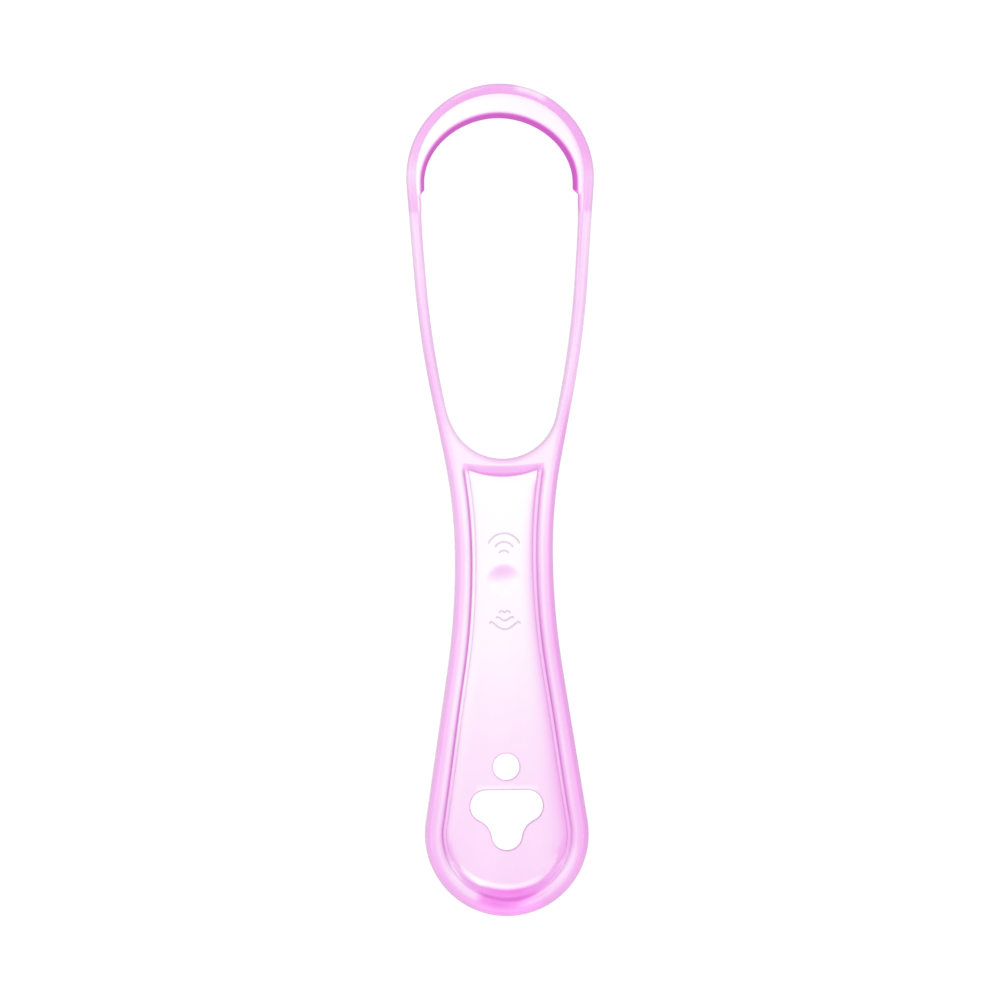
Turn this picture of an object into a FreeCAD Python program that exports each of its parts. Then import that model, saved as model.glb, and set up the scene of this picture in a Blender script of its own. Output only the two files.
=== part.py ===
import FreeCAD, Part
import math
import os
import Sketcher

# Tongue scraper: a hoop-shaped head with a turned-down scraping edge, two
# slim arms, a yoke below the opening and a flared handle that has a raised
# rim round a thin recessed panel.  Millimetres.  The tool lies on its back:
# +Y runs to the head, +X to the right seen from the front, +Z out of the
# front face.  Origin in the middle of the footprint, on the resting plane.

doc = FreeCAD.newDocument("tongue_scraper")
sheet = doc.addObject("Spreadsheet::Sheet", "Dims")

CELLS = [
    # outline, seen from the front
    ("head_radius", 17.5),        # outer radius of the head
    ("head_y", 60.0),             # centre of the head circle
    ("arm_lean_upper", 4.2),      # degrees from +Y, upper half of the arms
    ("arm_lean_lower", 11.35),    # degrees from +Y, lower half of the arms
    ("shoulder_curve", 186.0),    # radius between the two lean angles
    ("waist_half", 9.14),         # half width at the narrowest place
    ("waist_y", -10.2),
    ("waist_curve_up", 94.7),     # side radius above the waist
    ("waist_curve_down", 142.1),  # side radius below the waist
    ("butt_radius", 15.28),       # round lower end of the handle
    ("butt_y", -62.22),
    ("opening_bottom_y", 7.7),    # lowest point of the big opening
    # rim bead of the handle
    ("rim_width", 3.05),
    ("rim_depth", 4.4),
    ("rim_round", 1.3),
    ("rim_round_back", 0.75),
    # yoke between opening and handle
    ("foot_radius", 16.7),        # arc along the foot of the yoke wall
    ("foot_y", 4.34),             # lowest point of that arc
    ("yoke_round", 1.0),
    ("taper_y", 7.0),             # front and back slope above this line
    # arms
    ("arm_width", 2.4),
    ("arm_floor", 0.8),
    ("arm_depth", 3.1),
    ("arm_round", 1.0),
    # hoop round the head
    ("hoop_width", 1.85),
    ("hoop_floor", 1.0),
    ("hoop_depth", 2.9),
    ("hoop_round", 0.8),
    ("hoop_tail", 5.3),           # straight end of the hoop below the circle
    # crescent web and scraping edge
    ("web_floor", 1.9),
    ("web_thickness", 1.2),
    ("lip_y", 57.3),              # centre of the scraping edge
    ("lip_outer", 15.0),          # radius where the edge leaves the web
    ("lip_reach", 13.79),         # radius of the free edge
    ("lip_wall", 0.75),           # thickness of the free edge
    ("lip_root", 1.0),            # thickness at the web
    # recessed panel
    ("panel_floor", 1.4),
    ("panel_thickness", 1.5),
    ("ledge_width", 0.9),
    ("ledge_step", 0.4),
    ("dimple_y", -15.3),
    ("dimple_radius", 3.2),
    ("dimple_depth", 0.45),
    # hanging holes
    ("hole_radius", 2.5),
    ("hole_y", -49.7),
    ("lobe_radius", 3.0),
    ("lobe_x", 3.8),
    ("lobe_y", -57.0),
    ("toe_radius", 2.85),
    ("toe_y", -62.4),
    ("blend_radius", 4.0),
    # grip ribs
    ("rib_width", 0.3),
    ("rib_height", 0.22),
    ("rib_up_large", 3.2),
    ("rib_up_large_y", -9.4),
    ("rib_up_middle", 1.95),
    ("rib_up_middle_y", -9.7),
    ("rib_up_small", 1.15),
    ("rib_up_small_y", -10.5),
    ("rib_down_large", 3.3),
    ("rib_down_large_y", -20.8),
    ("rib_down_middle", 2.2),
    ("rib_down_middle_y", -20.25),
    ("rib_down_small", 1.4),
    ("rib_down_small_y", -19.6),
    ("rib_spread", 58.0),         # half angle of each rib, degrees
]
for row, (alias, value) in enumerate(CELLS, start=1):
    sheet.set("A%d" % row, alias)
    sheet.set("B%d" % row, str(value))
    sheet.setAlias("B%d" % row, alias)
doc.recompute()


def val(alias):
    return float(sheet.get(alias))


V = FreeCAD.Vector
UP = V(0, 0, 1)

# ---------------------------------------------------------------- outline
a1 = math.radians(val("arm_lean_upper"))
a2 = math.radians(val("arm_lean_lower"))
HR, HY = val("head_radius"), val("head_y")
R2, R3, R4 = val("shoulder_curve"), val("waist_curve_up"), val("waist_curve_down")
WX, WY = val("waist_half"), val("waist_y")
BR, BY = val("butt_radius"), val("butt_y")
N1, D1 = (math.cos(a1), -math.sin(a1)), (math.sin(a1), math.cos(a1))
N2, D2 = (math.cos(a2), -math.sin(a2)), (math.sin(a2), math.cos(a2))
C3 = (WX + R3, WY)
C4 = (WX + R4, WY)
P1 = (HR * N1[0], HY + HR * N1[1])                 # head circle ends
P4 = (C3[0] - R3 * N2[0], C3[1] - R3 * N2[1])      # waist curve begins
_det = -D1[0] * D2[1] + D2[0] * D1[1]
_bx, _by = P4[0] - P1[0], P4[1] - P1[1]
_s = (-_bx * D2[1] + D2[0] * _by) / _det
Q = (P1[0] + _s * D1[0], P1[1] + _s * D1[1])
_t = R2 * math.tan((a2 - a1) / 2)
P2 = (Q[0] + _t * D1[0], Q[1] + _t * D1[1])        # shoulder curve begins
P3 = (Q[0] - _t * D2[0], Q[1] - _t * D2[1])        # shoulder curve ends
C2 = (P2[0] - R2 * N1[0], P2[1] - R2 * N1[1])
a3 = math.atan2(WY - BY, C4[0]) - math.acos(
    (BR + R4) / math.hypot(C4[0], WY - BY))        # lean of the handle sides
N3 = (math.cos(a3), math.sin(a3))

# circle at the bottom of the big opening, tangent to the arms
AW = val("arm_width")
UY = (P4[0] * N2[0] + P4[1] * N2[1] - AW + val("opening_bottom_y")) / (1 + N2[1])
UR = UY - val("opening_bottom_y")

# upper corner of the recess: rim inside meets the foot of the yoke wall
RW = val("rim_width")
FR, FY = val("foot_radius"), val("foot_y") + val("foot_radius")


def corner(inset):
    """Where the outline, set in by inset, meets the foot arc (right side)."""
    r = R3 + inset
    dx, dy = -C3[0], FY - C3[1]
    d = math.hypot(dx, dy)
    along = (r * r - FR * FR + d * d) / (2 * d)
    side = math.sqrt(r * r - along * along)
    ux, uy = dx / d, dy / d
    best = [(C3[0] + along * ux - s * side * uy,
             C3[1] + along * uy + s * side * ux) for s in (1, -1)]
    return min(best, key=lambda p: p[1])


def side(p, n, d):
    return (p[0] - d * n[0], p[1] - d * n[1])


# ---------------------------------------------------------------- sketches
class Chain:
    """A run of lines and arcs that goes round one closed outline."""

    def __init__(self):
        self.geo, self.ends = [], []

    def line(self, p, q):
        self.geo.append(Part.LineSegment(V(p[0], p[1], 0), V(q[0], q[1], 0)))
        self.ends.append((1, 2))
        return len(self.geo) - 1

    def arc(self, c, r, p, q, ccw):
        s = math.atan2(p[1] - c[1], p[0] - c[0])
        e = math.atan2(q[1] - c[1], q[0] - c[0])
        if not ccw:
            s, e = e, s
        while e <= s + 1e-9:
            e += 2 * math.pi
        self.geo.append(Part.ArcOfCircle(
            Part.Circle(V(c[0], c[1], 0), UP, r), s, e))
        self.ends.append((1, 2) if ccw else (2, 1))
        return len(self.geo) - 1


def new_sketch(body, name, plane, offset=None):
    sk = body.newObject("Sketcher::SketchObject", name)
    origin = [f for f in body.Origin.OriginFeatures if f.Role == plane][0]
    sk.AttachmentSupport = (origin, [""])
    sk.MapMode = "FlatFace"
    if offset:
        sk.setExpression("AttachmentOffset.Base.z", offset)
    return sk


def put(sk, chain, smooth=()):
    """Adds a closed chain; joins listed in smooth are tangent."""
    base = sk.GeometryCount
    for g in chain.geo:
        sk.addGeometry(g, False)
    n = len(chain.geo)
    for i in range(n):
        j = (i + 1) % n
        kind = "Tangent" if i in smooth else "Coincident"
        sk.addConstraint(Sketcher.Constraint(
            kind, base + i, chain.ends[i][1], base + j, chain.ends[j][0]))
    return base


def bind(sk, constraint, expression):
    i = sk.addConstraint(constraint)
    name = "k%d" % i
    sk.renameConstraint(i, name)
    sk.setExpression("Constraints." + name, expression)


def radius(sk, g, value, expression):
    bind(sk, Sketcher.Constraint("Radius", g, value), expression)


def place(sk, g, pos, axis, value, expression):
    """Signed distance of a point from the sketch origin along one axis."""
    kind = "Distance" + axis
    if abs(value) < 1e-9:
        sk.addConstraint(Sketcher.Constraint(
            "PointOnObject", g, pos, -2 if axis == "X" else -1))
    elif value > 0:
        bind(sk, Sketcher.Constraint(kind, -1, 1, g, pos, value), expression)
    else:
        bind(sk, Sketcher.Constraint(kind, g, pos, -1, 1, -value),
             "-(" + expression + ")")


def same_centre(sk, g, h):
    sk.addConstraint(Sketcher.Constraint("Coincident", g, 3, h, 3))


def new_body(label):
    body = doc.addObject("PartDesign::Body", label)
    body.Label = label
    return body


def pad(body, sk, length):
    f = body.newObject("PartDesign::Pad", "Pad")
    f.Profile = sk
    f.setExpression("Length", length)
    sk.Visibility = False
    doc.recompute()
    return f


def edges_at(shape, z, skip):
    """Names of the edges that lie at height z, without those on skip lines."""
    names = []
    for i, e in enumerate(shape.Edges, start=1):
        mid = e.valueAt((e.FirstParameter + e.LastParameter) / 2)
        flat = all(abs(v.Point.z - z) < 1e-4 for v in e.Vertexes)
        if not flat or abs(mid.z - z) > 1e-4:
            continue
        if any(all(abs((v.Point.x - p[0]) * (q[1] - p[1])
                       - (v.Point.y - p[1]) * (q[0] - p[0])) < 1e-3
                   for v in e.Vertexes) and e.Length < 6 for p, q in skip):
            continue
        names.append("Edge%d" % i)
    return names


def round_off(body, base, names, expression):
    f = body.newObject("PartDesign::Fillet", "Fillet")
    f.Base = (base, names)
    f.setExpression("Radius", expression)
    doc.recompute()
    return f


# cut lines between the pieces, right side; each runs square across the bar
TAIL = val("hoop_tail")
CUT_TOP = ((P1[0] - TAIL * D1[0], P1[1] - TAIL * D1[1]),
           side((P1[0] - TAIL * D1[0], P1[1] - TAIL * D1[1]), N1, AW))
T_U = (UR * N2[0], UY + UR * N2[1])
CUT_LOW = ((T_U[0] + AW * N2[0], T_U[1] + AW * N2[1]), T_U)
K_IN = corner(RW)
_k = math.hypot(K_IN[0] - C3[0], K_IN[1] - C3[1])
K_OUT = (C3[0] + R3 * (K_IN[0] - C3[0]) / _k, C3[1] + R3 * (K_IN[1] - C3[1]) / _k)


def flip(p):
    return (-p[0], p[1])


def flip_cut(c):
    return (flip(c[0]), flip(c[1]))


CENTRE_UP_X = "Dims.waist_half + Dims.waist_curve_up"

# ------------------------------------------------------------- handle rim
rim = new_body("handle_rim")
sk = new_sketch(rim, "rim_outline", "XY_Plane")


def side_run(ch, inset, mirror, down):
    """Waist, flare and half of the lower end; returns the geometry list."""
    f = flip if mirror else (lambda p: p)
    r3, r4, br = R3 + inset, R4 + inset, BR - inset
    top = K_OUT if inset == 0 else corner(inset)
    w = (WX - inset, WY)
    e = (C4[0] - r4 * N3[0], C4[1] - r4 * N3[1])
    b = (br * N3[0], BY + br * N3[1])
    if down:
        return [ch.arc(f(C3), r3, f(top), f(w), not mirror),
                ch.arc(f(C4), r4, f(w), f(e), not mirror),
                ch.line(f(e), f(b))]
    return [ch.line(f(b), f(e)),
            ch.arc(f(C4), r4, f(e), f(w), mirror),
            ch.arc(f(C3), r3, f(w), f(top), mirror)]


def butt_arc(ch, inset, to_left):
    br = BR - inset
    r = (br * N3[0], BY + br * N3[1])
    return ch.arc((0, BY), br, r if to_left else flip(r),
                  flip(r) if to_left else r, not to_left)


def bind_side(sk, base, arcs, ch, inset_expr, mirror, down, free_centre):
    """Radii and places of the waist arcs of one side run."""
    up, low = (arcs[0], arcs[1]) if down else (arcs[2], arcs[1])
    g_up, g_low = base + up, base + low
    extra = " + " + inset_expr if inset_expr else ""
    radius(sk, g_up, sk.Geometry[g_up].Radius, "Dims.waist_curve_up" + extra)
    radius(sk, g_low, sk.Geometry[g_low].Radius, "Dims.waist_curve_down" + extra)
    if free_centre is None:
        sx = -1 if mirror else 1
        place(sk, g_up, 3, "X", sx * C3[0],
              ("-(" + CENTRE_UP_X + ")") if mirror else CENTRE_UP_X)
        place(sk, g_up, 3, "Y", C3[1], "Dims.waist_y")
    else:
        same_centre(sk, g_up, free_centre)
    # the two curves meet at the waist
    end = ch.ends[up][1] if down else ch.ends[up][0]
    place(sk, g_up, end, "Y", WY, "Dims.waist_y")
    return g_up


ch = Chain()
o_r = side_run(ch, 0.0, False, True)
o_b = butt_arc(ch, 0.0, True)
o_l = side_run(ch, 0.0, True, False)
c_l = ch.line(flip(K_OUT), flip(K_IN))
i_l = side_run(ch, RW, True, True)
i_b = butt_arc(ch, RW, False)
i_r = side_run(ch, RW, False, False)
c_r = ch.line(K_IN, K_OUT)
base = put(sk, ch, smooth=(0, 1, 2, 3, 4, 5, 8, 9, 10, 11, 12, 13))
g_r = bind_side(sk, base, o_r, ch, "", False, True, None)
g_l = bind_side(sk, base, o_l, ch, "", True, False, None)
bind_side(sk, base, i_l, ch, "Dims.rim_width", True, True, g_l)
bind_side(sk, base, i_r, ch, "Dims.rim_width", False, False, g_r)
radius(sk, base + o_b, BR, "Dims.butt_radius")
place(sk, base + o_b, 3, "X", 0.0, "0")
place(sk, base + o_b, 3, "Y", BY, "Dims.butt_y")
radius(sk, base + i_b, BR - RW, "Dims.butt_radius - Dims.rim_width")
same_centre(sk, base + i_b, base + o_b)
for g_arc, g_cut in ((g_r, base + c_r), (g_l, base + c_l)):
    sk.addConstraint(Sketcher.Constraint("PointOnObject", g_arc, 3, g_cut))
doc.recompute()
p = pad(rim, sk, "Dims.rim_depth")
cuts = [(K_IN, K_OUT), flip_cut((K_IN, K_OUT))]
f = round_off(rim, p, edges_at(p.Shape, val("rim_depth"), cuts), "Dims.rim_round")
f = round_off(rim, f, edges_at(f.Shape, 0.0, cuts), "Dims.rim_round_back")
rim.Tip = f

# ------------------------------------------------------------------- yoke
yoke = new_body("neck_yoke")
sk = new_sketch(yoke, "yoke_outline", "XY_Plane")
ch = Chain()
y_u = ch.arc((0, UY), UR, flip(T_U), T_U, True)
y_cr = ch.line(T_U, CUT_LOW[0])
y_lr = ch.line(CUT_LOW[0], P4)
y_ar = ch.arc(C3, R3, P4, K_OUT, True)
y_kr = ch.line(K_OUT, K_IN)
y_f = ch.arc((0, FY), FR, K_IN, flip(K_IN), False)
y_kl = ch.line(flip(K_IN), flip(K_OUT))
y_al = ch.arc(flip(C3), R3, flip(K_OUT), flip(P4), True)
y_ll = ch.line(flip(P4), flip(CUT_LOW[0]))
y_cl = ch.line(flip(CUT_LOW[0]), flip(T_U))
base = put(sk, ch, smooth=(2, 7))
radius(sk, base + y_u, UR,
       "%.9f - Dims.opening_bottom_y" % UY)
place(sk, base + y_u, 3, "X", 0.0, "0")
radius(sk, base + y_f, FR, "Dims.foot_radius")
place(sk, base + y_f, 3, "X", 0.0, "0")
place(sk, base + y_f, 3, "Y", FY, "Dims.foot_y + Dims.foot_radius")
for g, sx in ((y_ar, 1), (y_al, -1)):
    radius(sk, base + g, R3, "Dims.waist_curve_up")
    place(sk, base + g, 3, "X", sx * C3[0],
          CENTRE_UP_X if sx > 0 else "-(" + CENTRE_UP_X + ")")
    place(sk, base + g, 3, "Y", C3[1], "Dims.waist_y")
for g_cut, g_line in ((y_cr, y_lr), (y_cl, y_ll)):
    bind(sk, Sketcher.Constraint("Distance", base + g_cut, AW), "Dims.arm_width")
    sk.addConstraint(Sketcher.Constraint("Perpendicular", base + g_cut, base + g_line))
for g_cut, g_arc in ((y_kr, y_ar), (y_kl, y_al)):
    bind(sk, Sketcher.Constraint("Distance", base + g_cut, RW), "Dims.rim_width")
    sk.addConstraint(Sketcher.Constraint("PointOnObject", base + g_arc, 3, base + g_cut))
doc.recompute()
p = pad(yoke, sk, "Dims.rim_depth")

# front and back slope from the depth of the rim to the depth of the arms
RD, AF, AD = val("rim_depth"), val("arm_floor"), val("arm_depth")
TY, EY = val("taper_y"), CUT_LOW[1][1]
for name, z0, z1, e0, e1, clear in (
        ("front_slope", RD, AF + AD, "Dims.rim_depth",
         "Dims.arm_floor + Dims.arm_depth", 1.0),
        ("back_slope", 0.0, AF, "0", "Dims.arm_floor", -1.0)):
    sk = new_sketch(yoke, name, "YZ_Plane")
    far = EY + 1.0
    z2 = z0 + (z1 - z0) * (far - TY) / (EY - TY)
    ch = Chain()
    t_1 = ch.line((TY, z0), (far, z2))
    t_2 = ch.line((far, z2), (far, z0 + clear))
    t_3 = ch.line((far, z0 + clear), (TY, z0 + clear))
    t_4 = ch.line((TY, z0 + clear), (TY, z0))
    base = put(sk, ch)
    place(sk, base + t_1, 1, "X", TY, "Dims.taper_y")
    place(sk, base + t_1, 1, "Y", z0, e0)
    for g, kind in ((t_2, "Vertical"), (t_3, "Horizontal"), (t_4, "Vertical")):
        sk.addConstraint(Sketcher.Constraint(kind, base + g))
    place(sk, base + t_1, 2, "Y", z2,
          "%s + ((%s) - (%s)) * %.9f" % (e0, e1, e0, (far - TY) / (EY - TY)))
    doc.recompute()
    c = yoke.newObject("PartDesign::Pocket", name + "_cut")
    c.Profile = sk
    c.Midplane = True
    c.Length = 40
    sk.Visibility = False
    doc.recompute()
    p = c


def edges_between(shape, low, high, skip):
    """Edges whose ends and middle lie between two heights, off the skip lines."""
    names = []
    for i, e in enumerate(shape.Edges, start=1):
        mid = e.valueAt((e.FirstParameter + e.LastParameter) / 2)
        zs = [v.Point.z for v in e.Vertexes] + [mid.z]
        if min(zs) < low or max(zs) > high or abs(e.tangentAt(e.FirstParameter).z) > 0.5:
            continue
        if all(abs(v.Point.y - TY) < 1e-3 for v in e.Vertexes) and abs(mid.y - TY) < 1e-3:
            continue
        if any(all(abs((v.Point.x - a[0]) * (b[1] - a[1])
                       - (v.Point.y - a[1]) * (b[0] - a[0])) < 1e-3
                   for v in e.Vertexes) and e.Length < 6 for a, b in skip):
            continue
        names.append("Edge%d" % i)
    return names


cuts = [(K_IN, K_OUT), flip_cut((K_IN, K_OUT)), CUT_LOW, flip_cut(CUT_LOW)]
f = round_off(yoke, p, edges_between(p.Shape, AF + AD - 0.3, RD + 0.1, cuts),
              "Dims.yoke_round")
f = round_off(yoke, f, edges_between(f.Shape, -0.1, AF + 0.3, cuts),
              "Dims.rim_round_back")
yoke.Tip = f

# ------------------------------------------------------------------- arms
for label, mirror in (("left_arm", True), ("right_arm", False)):
    f = flip if mirror else (lambda q: q)
    body = new_body(label)
    sk = new_sketch(body, label + "_outline", "XY_Plane", "Dims.arm_floor")
    ch = Chain()
    top_o, top_i = CUT_TOP
    low_o, low_i = CUT_LOW
    m_1 = ch.line(f(top_o), f(P2))
    m_2 = ch.arc(f(C2), R2, f(P2), f(P3), mirror)
    m_3 = ch.line(f(P3), f(low_o))
    m_4 = ch.line(f(low_o), f(low_i))
    m_5 = ch.line(f(low_i), f(side(P3, N2, AW)))
    m_6 = ch.arc(f(C2), R2 - AW, f(side(P3, N2, AW)), f(side(P2, N1, AW)), not mirror)
    m_7 = ch.line(f(side(P2, N1, AW)), f(top_i))
    m_8 = ch.line(f(top_i), f(top_o))
    base = put(sk, ch, smooth=(0, 1, 4, 5))
    radius(sk, base + m_2, R2, "Dims.shoulder_curve")
    radius(sk, base + m_6, R2 - AW, "Dims.shoulder_curve - Dims.arm_width")
    same_centre(sk, base + m_6, base + m_2)
    bind(sk, Sketcher.Constraint("Distance", base + m_8, AW), "Dims.arm_width")
    sk.addConstraint(Sketcher.Constraint("Perpendicular", base + m_8, base + m_1))
    sk.addConstraint(Sketcher.Constraint("Perpendicular", base + m_4, base + m_3))
    doc.recompute()
    p = pad(body, sk, "Dims.arm_depth")
    cuts = [CUT_TOP, CUT_LOW]
    if mirror:
        cuts = [flip_cut(c) for c in cuts]
    low, high = val("arm_floor"), val("arm_floor") + val("arm_depth")
    r = round_off(body, p, edges_at(p.Shape, high, cuts)
                  + edges_at(p.Shape, low, cuts), "Dims.arm_round")
    body.Tip = r

# ------------------------------------------------------------------- hoop
HW = val("hoop_width")
hoop = new_body("head_hoop")
sk = new_sketch(hoop, "hoop_outline", "XY_Plane", "Dims.hoop_floor")
ch = Chain()
end_o = CUT_TOP[0]
end_i = side(end_o, N1, HW)
P1I = side(P1, N1, HW)
h_1 = ch.line(end_o, P1)
h_2 = ch.arc((0, HY), HR, P1, flip(P1), True)
h_3 = ch.line(flip(P1), flip(end_o))
h_4 = ch.line(flip(end_o), flip(end_i))
h_5 = ch.line(flip(end_i), flip(P1I))
h_6 = ch.arc((0, HY), HR - HW, flip(P1I), P1I, False)
h_7 = ch.line(P1I, end_i)
h_8 = ch.line(end_i, end_o)
base = put(sk, ch, smooth=(0, 1, 4, 5))
radius(sk, base + h_2, HR, "Dims.head_radius")
place(sk, base + h_2, 3, "X", 0.0, "0")
place(sk, base + h_2, 3, "Y", HY, "Dims.head_y")
radius(sk, base + h_6, HR - HW, "Dims.head_radius - Dims.hoop_width")
same_centre(sk, base + h_6, base + h_2)
for g_end, g_line in ((h_4, h_3), (h_8, h_1)):
    sk.addConstraint(Sketcher.Constraint("Perpendicular", base + g_end, base + g_line))
    bind(sk, Sketcher.Constraint("Distance", base + g_line, TAIL), "Dims.hoop_tail")
doc.recompute()
p = pad(hoop, sk, "Dims.hoop_depth")
cuts = [(end_i, end_o), flip_cut((end_i, end_o))]
low, high = val("hoop_floor"), val("hoop_floor") + val("hoop_depth")
f = round_off(hoop, p, edges_at(p.Shape, high, cuts)
              + edges_at(p.Shape, low, cuts), "Dims.hoop_round")
hoop.Tip = f

# ---------------------------------------------------------- crescent web
LY, LO = val("lip_y"), val("lip_outer")
web = new_body("blade_web")
sk = new_sketch(web, "web_outline", "XY_Plane", "Dims.web_floor")
ch = Chain()
w_1 = ch.line(end_i, P1I)
w_2 = ch.arc((0, HY), HR - HW, P1I, flip(P1I), True)
w_3 = ch.line(flip(P1I), flip(end_i))
w_4 = ch.line(flip(end_i), flip(CUT_TOP[1]))
w_5 = ch.line(flip(CUT_TOP[1]), (-LO, LY))
w_6 = ch.arc((0, LY), LO, (-LO, LY), (LO, LY), False)
w_7 = ch.line((LO, LY), CUT_TOP[1])
w_8 = ch.line(CUT_TOP[1], end_i)
base = put(sk, ch, smooth=(0, 1))
radius(sk, base + w_2, HR - HW, "Dims.head_radius - Dims.hoop_width")
place(sk, base + w_2, 3, "X", 0.0, "0")
place(sk, base + w_2, 3, "Y", HY, "Dims.head_y")
radius(sk, base + w_6, LO, "Dims.lip_outer")
place(sk, base + w_6, 3, "X", 0.0, "0")
place(sk, base + w_6, 3, "Y", LY, "Dims.lip_y")
for g_end, g_line in ((w_4, w_3), (w_8, w_1)):
    sk.addConstraint(Sketcher.Constraint("Perpendicular", base + g_end, base + g_line))
    bind(sk, Sketcher.Constraint("Distance", base + g_line, TAIL), "Dims.hoop_tail")
    bind(sk, Sketcher.Constraint("Distance", base + g_end, AW - HW),
         "Dims.arm_width - Dims.hoop_width")
doc.recompute()
p = pad(web, sk, "Dims.web_thickness")
web.Tip = p

# ---------------------------------------------------------- scraping edge
# a strip turned back from the web; its free edge reaches the resting plane
lip = new_body("scraping_edge")
sk = new_sketch(lip, "lip_section", "XZ_Plane", "-Dims.lip_y")
z_top = val("web_floor") + val("web_thickness")
LR, LW, LT = val("lip_reach"), val("lip_wall"), val("lip_root")
pts = [(LO, z_top), (LO - 0.35, z_top), (LO - 0.62, z_top - 0.38), (LR, 0.42),
       (LR + 0.06, 0.0), (LR + LW - 0.16, 0.0), (LR + LW, 0.3),
       (LO, z_top - val("web_thickness"))]
ch = Chain()
n = len(pts)
for i in range(n):
    ch.line(pts[i], pts[(i + 1) % n])
base = put(sk, ch)
place(sk, base + 0, 1, "X", LO, "Dims.lip_outer")
place(sk, base + 0, 1, "Y", z_top, "Dims.web_floor + Dims.web_thickness")
place(sk, base + 3, 1, "X", LR, "Dims.lip_reach")
place(sk, base + 6, 1, "X", LR + LW, "Dims.lip_reach + Dims.lip_wall")
place(sk, base + 7, 1, "X", LO, "Dims.lip_outer")
place(sk, base + 7, 1, "Y", z_top - val("web_thickness"), "Dims.web_floor")
for i in (4, 5):
    place(sk, base + i, 1, "Y", 0.0, "0")
doc.recompute()
r = lip.newObject("PartDesign::Revolution", "Revolution")
r.Profile = sk
r.ReferenceAxis = (sk, ["V_Axis"])
r.Angle = 180
sk.Visibility = False
doc.recompute()
if r.Shape.BoundBox.Center.y < LY:
    r.Reversed = True
    doc.recompute()
lip.Tip = r

# ----------------------------------------------------------------- panel
panel = new_body("handle_panel")


def recess(sk, inset, inset_expr):
    """Outline of the recess, set in from the sides and the lower end."""
    k = corner(inset)
    ch = Chain()
    r_ = side_run(ch, inset, False, True)
    b_ = butt_arc(ch, inset, True)
    l_ = side_run(ch, inset, True, False)
    t_ = ch.arc((0, FY), FR, flip(k), k, True)
    base = put(sk, ch, smooth=(0, 1, 2, 3, 4, 5))
    bind_side(sk, base, r_, ch, inset_expr, False, True, None)
    bind_side(sk, base, l_, ch, inset_expr, True, False, None)
    radius(sk, base + b_, BR - inset, "Dims.butt_radius - (" + inset_expr + ")")
    place(sk, base + b_, 3, "X", 0.0, "0")
    place(sk, base + b_, 3, "Y", BY, "Dims.butt_y")
    radius(sk, base + t_, FR, "Dims.foot_radius")
    place(sk, base + t_, 3, "X", 0.0, "0")
    place(sk, base + t_, 3, "Y", FY, "Dims.foot_y + Dims.foot_radius")


sk = new_sketch(panel, "panel_outline", "XY_Plane", "Dims.panel_floor")
recess(sk, RW, "Dims.rim_width")
doc.recompute()
p = pad(panel, sk, "Dims.panel_thickness + Dims.ledge_step")

# floor of the recess, inside a narrow ledge along the rim
z_face = val("panel_floor") + val("panel_thickness")
sk = new_sketch(panel, "floor_outline", "XY_Plane",
                "Dims.panel_floor + Dims.panel_thickness + Dims.ledge_step")
recess(sk, RW + val("ledge_width"), "Dims.rim_width + Dims.ledge_width")
doc.recompute()
before = panel.Shape.Volume
c = panel.newObject("PartDesign::Pocket", "Floor")
c.Profile = sk
c.setExpression("Length", "Dims.ledge_step")
sk.Visibility = False
doc.recompute()
if c.Shape.Volume >= before - 1.0:
    c.Reversed = True
    doc.recompute()

# round hanging hole and the three-lobed hanging slot under it
sk = new_sketch(panel, "hole_outline", "XY_Plane", "Dims.panel_floor")
sk.addGeometry(Part.Circle(V(0, val("hole_y"), 0), UP, val("hole_radius")), False)
radius(sk, 0, val("hole_radius"), "Dims.hole_radius")
place(sk, 0, 3, "X", 0.0, "0")
place(sk, 0, 3, "Y", val("hole_y"), "Dims.hole_y")
doc.recompute()
before = c.Shape.Volume
h = panel.newObject("PartDesign::Pocket", "Hole")
h.Profile = sk
h.Midplane = True
h.setExpression("Length", "4 * (Dims.panel_thickness + Dims.ledge_step)")
sk.Visibility = False
doc.recompute()

sk = new_sketch(panel, "slot_outline", "XY_Plane", "Dims.panel_floor")
c1, r1 = (val("lobe_x"), val("lobe_y")), val("lobe_radius")
c2, r2 = (0.0, val("toe_y")), val("toe_radius")
rb = val("blend_radius")
dx, dy = c1[0] - c2[0], c1[1] - c2[1]
d = math.hypot(dx, dy)
along = ((r2 + rb) ** 2 - (r1 + rb) ** 2 + d * d) / (2 * d)
across = math.sqrt((r2 + rb) ** 2 - along * along)
cb = (c2[0] + along * dx / d + across * dy / d,
      c2[1] + along * dy / d - across * dx / d)


def between(p, q, r):
    m = math.hypot(q[0] - p[0], q[1] - p[1])
    return (p[0] + r * (q[0] - p[0]) / m, p[1] + r * (q[1] - p[1]) / m)


q1, q2 = between(c1, cb, r1), between(c2, cb, r2)
t1 = (c1[0], c1[1] + r1)
ch = Chain()
s_t = ch.line(flip(t1), t1)
s_r = ch.arc(c1, r1, t1, q1, False)
s_br = ch.arc(cb, rb, q1, q2, True)
s_f = ch.arc(c2, r2, q2, flip(q2), False)
s_bl = ch.arc(flip(cb), rb, flip(q2), flip(q1), True)
s_l = ch.arc(flip(c1), r1, flip(q1), flip(t1), False)
base = put(sk, ch, smooth=(0, 1, 2, 3, 4, 5))
for g in (s_r, s_l):
    radius(sk, base + g, r1, "Dims.lobe_radius")
for g in (s_br, s_bl):
    radius(sk, base + g, rb, "Dims.blend_radius")
radius(sk, base + s_f, r2, "Dims.toe_radius")
place(sk, base + s_f, 3, "X", 0.0, "0")
place(sk, base + s_f, 3, "Y", c2[1], "Dims.toe_y")
place(sk, base + s_r, 3, "X", c1[0], "Dims.lobe_x")
place(sk, base + s_r, 3, "Y", c1[1], "Dims.lobe_y")
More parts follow.
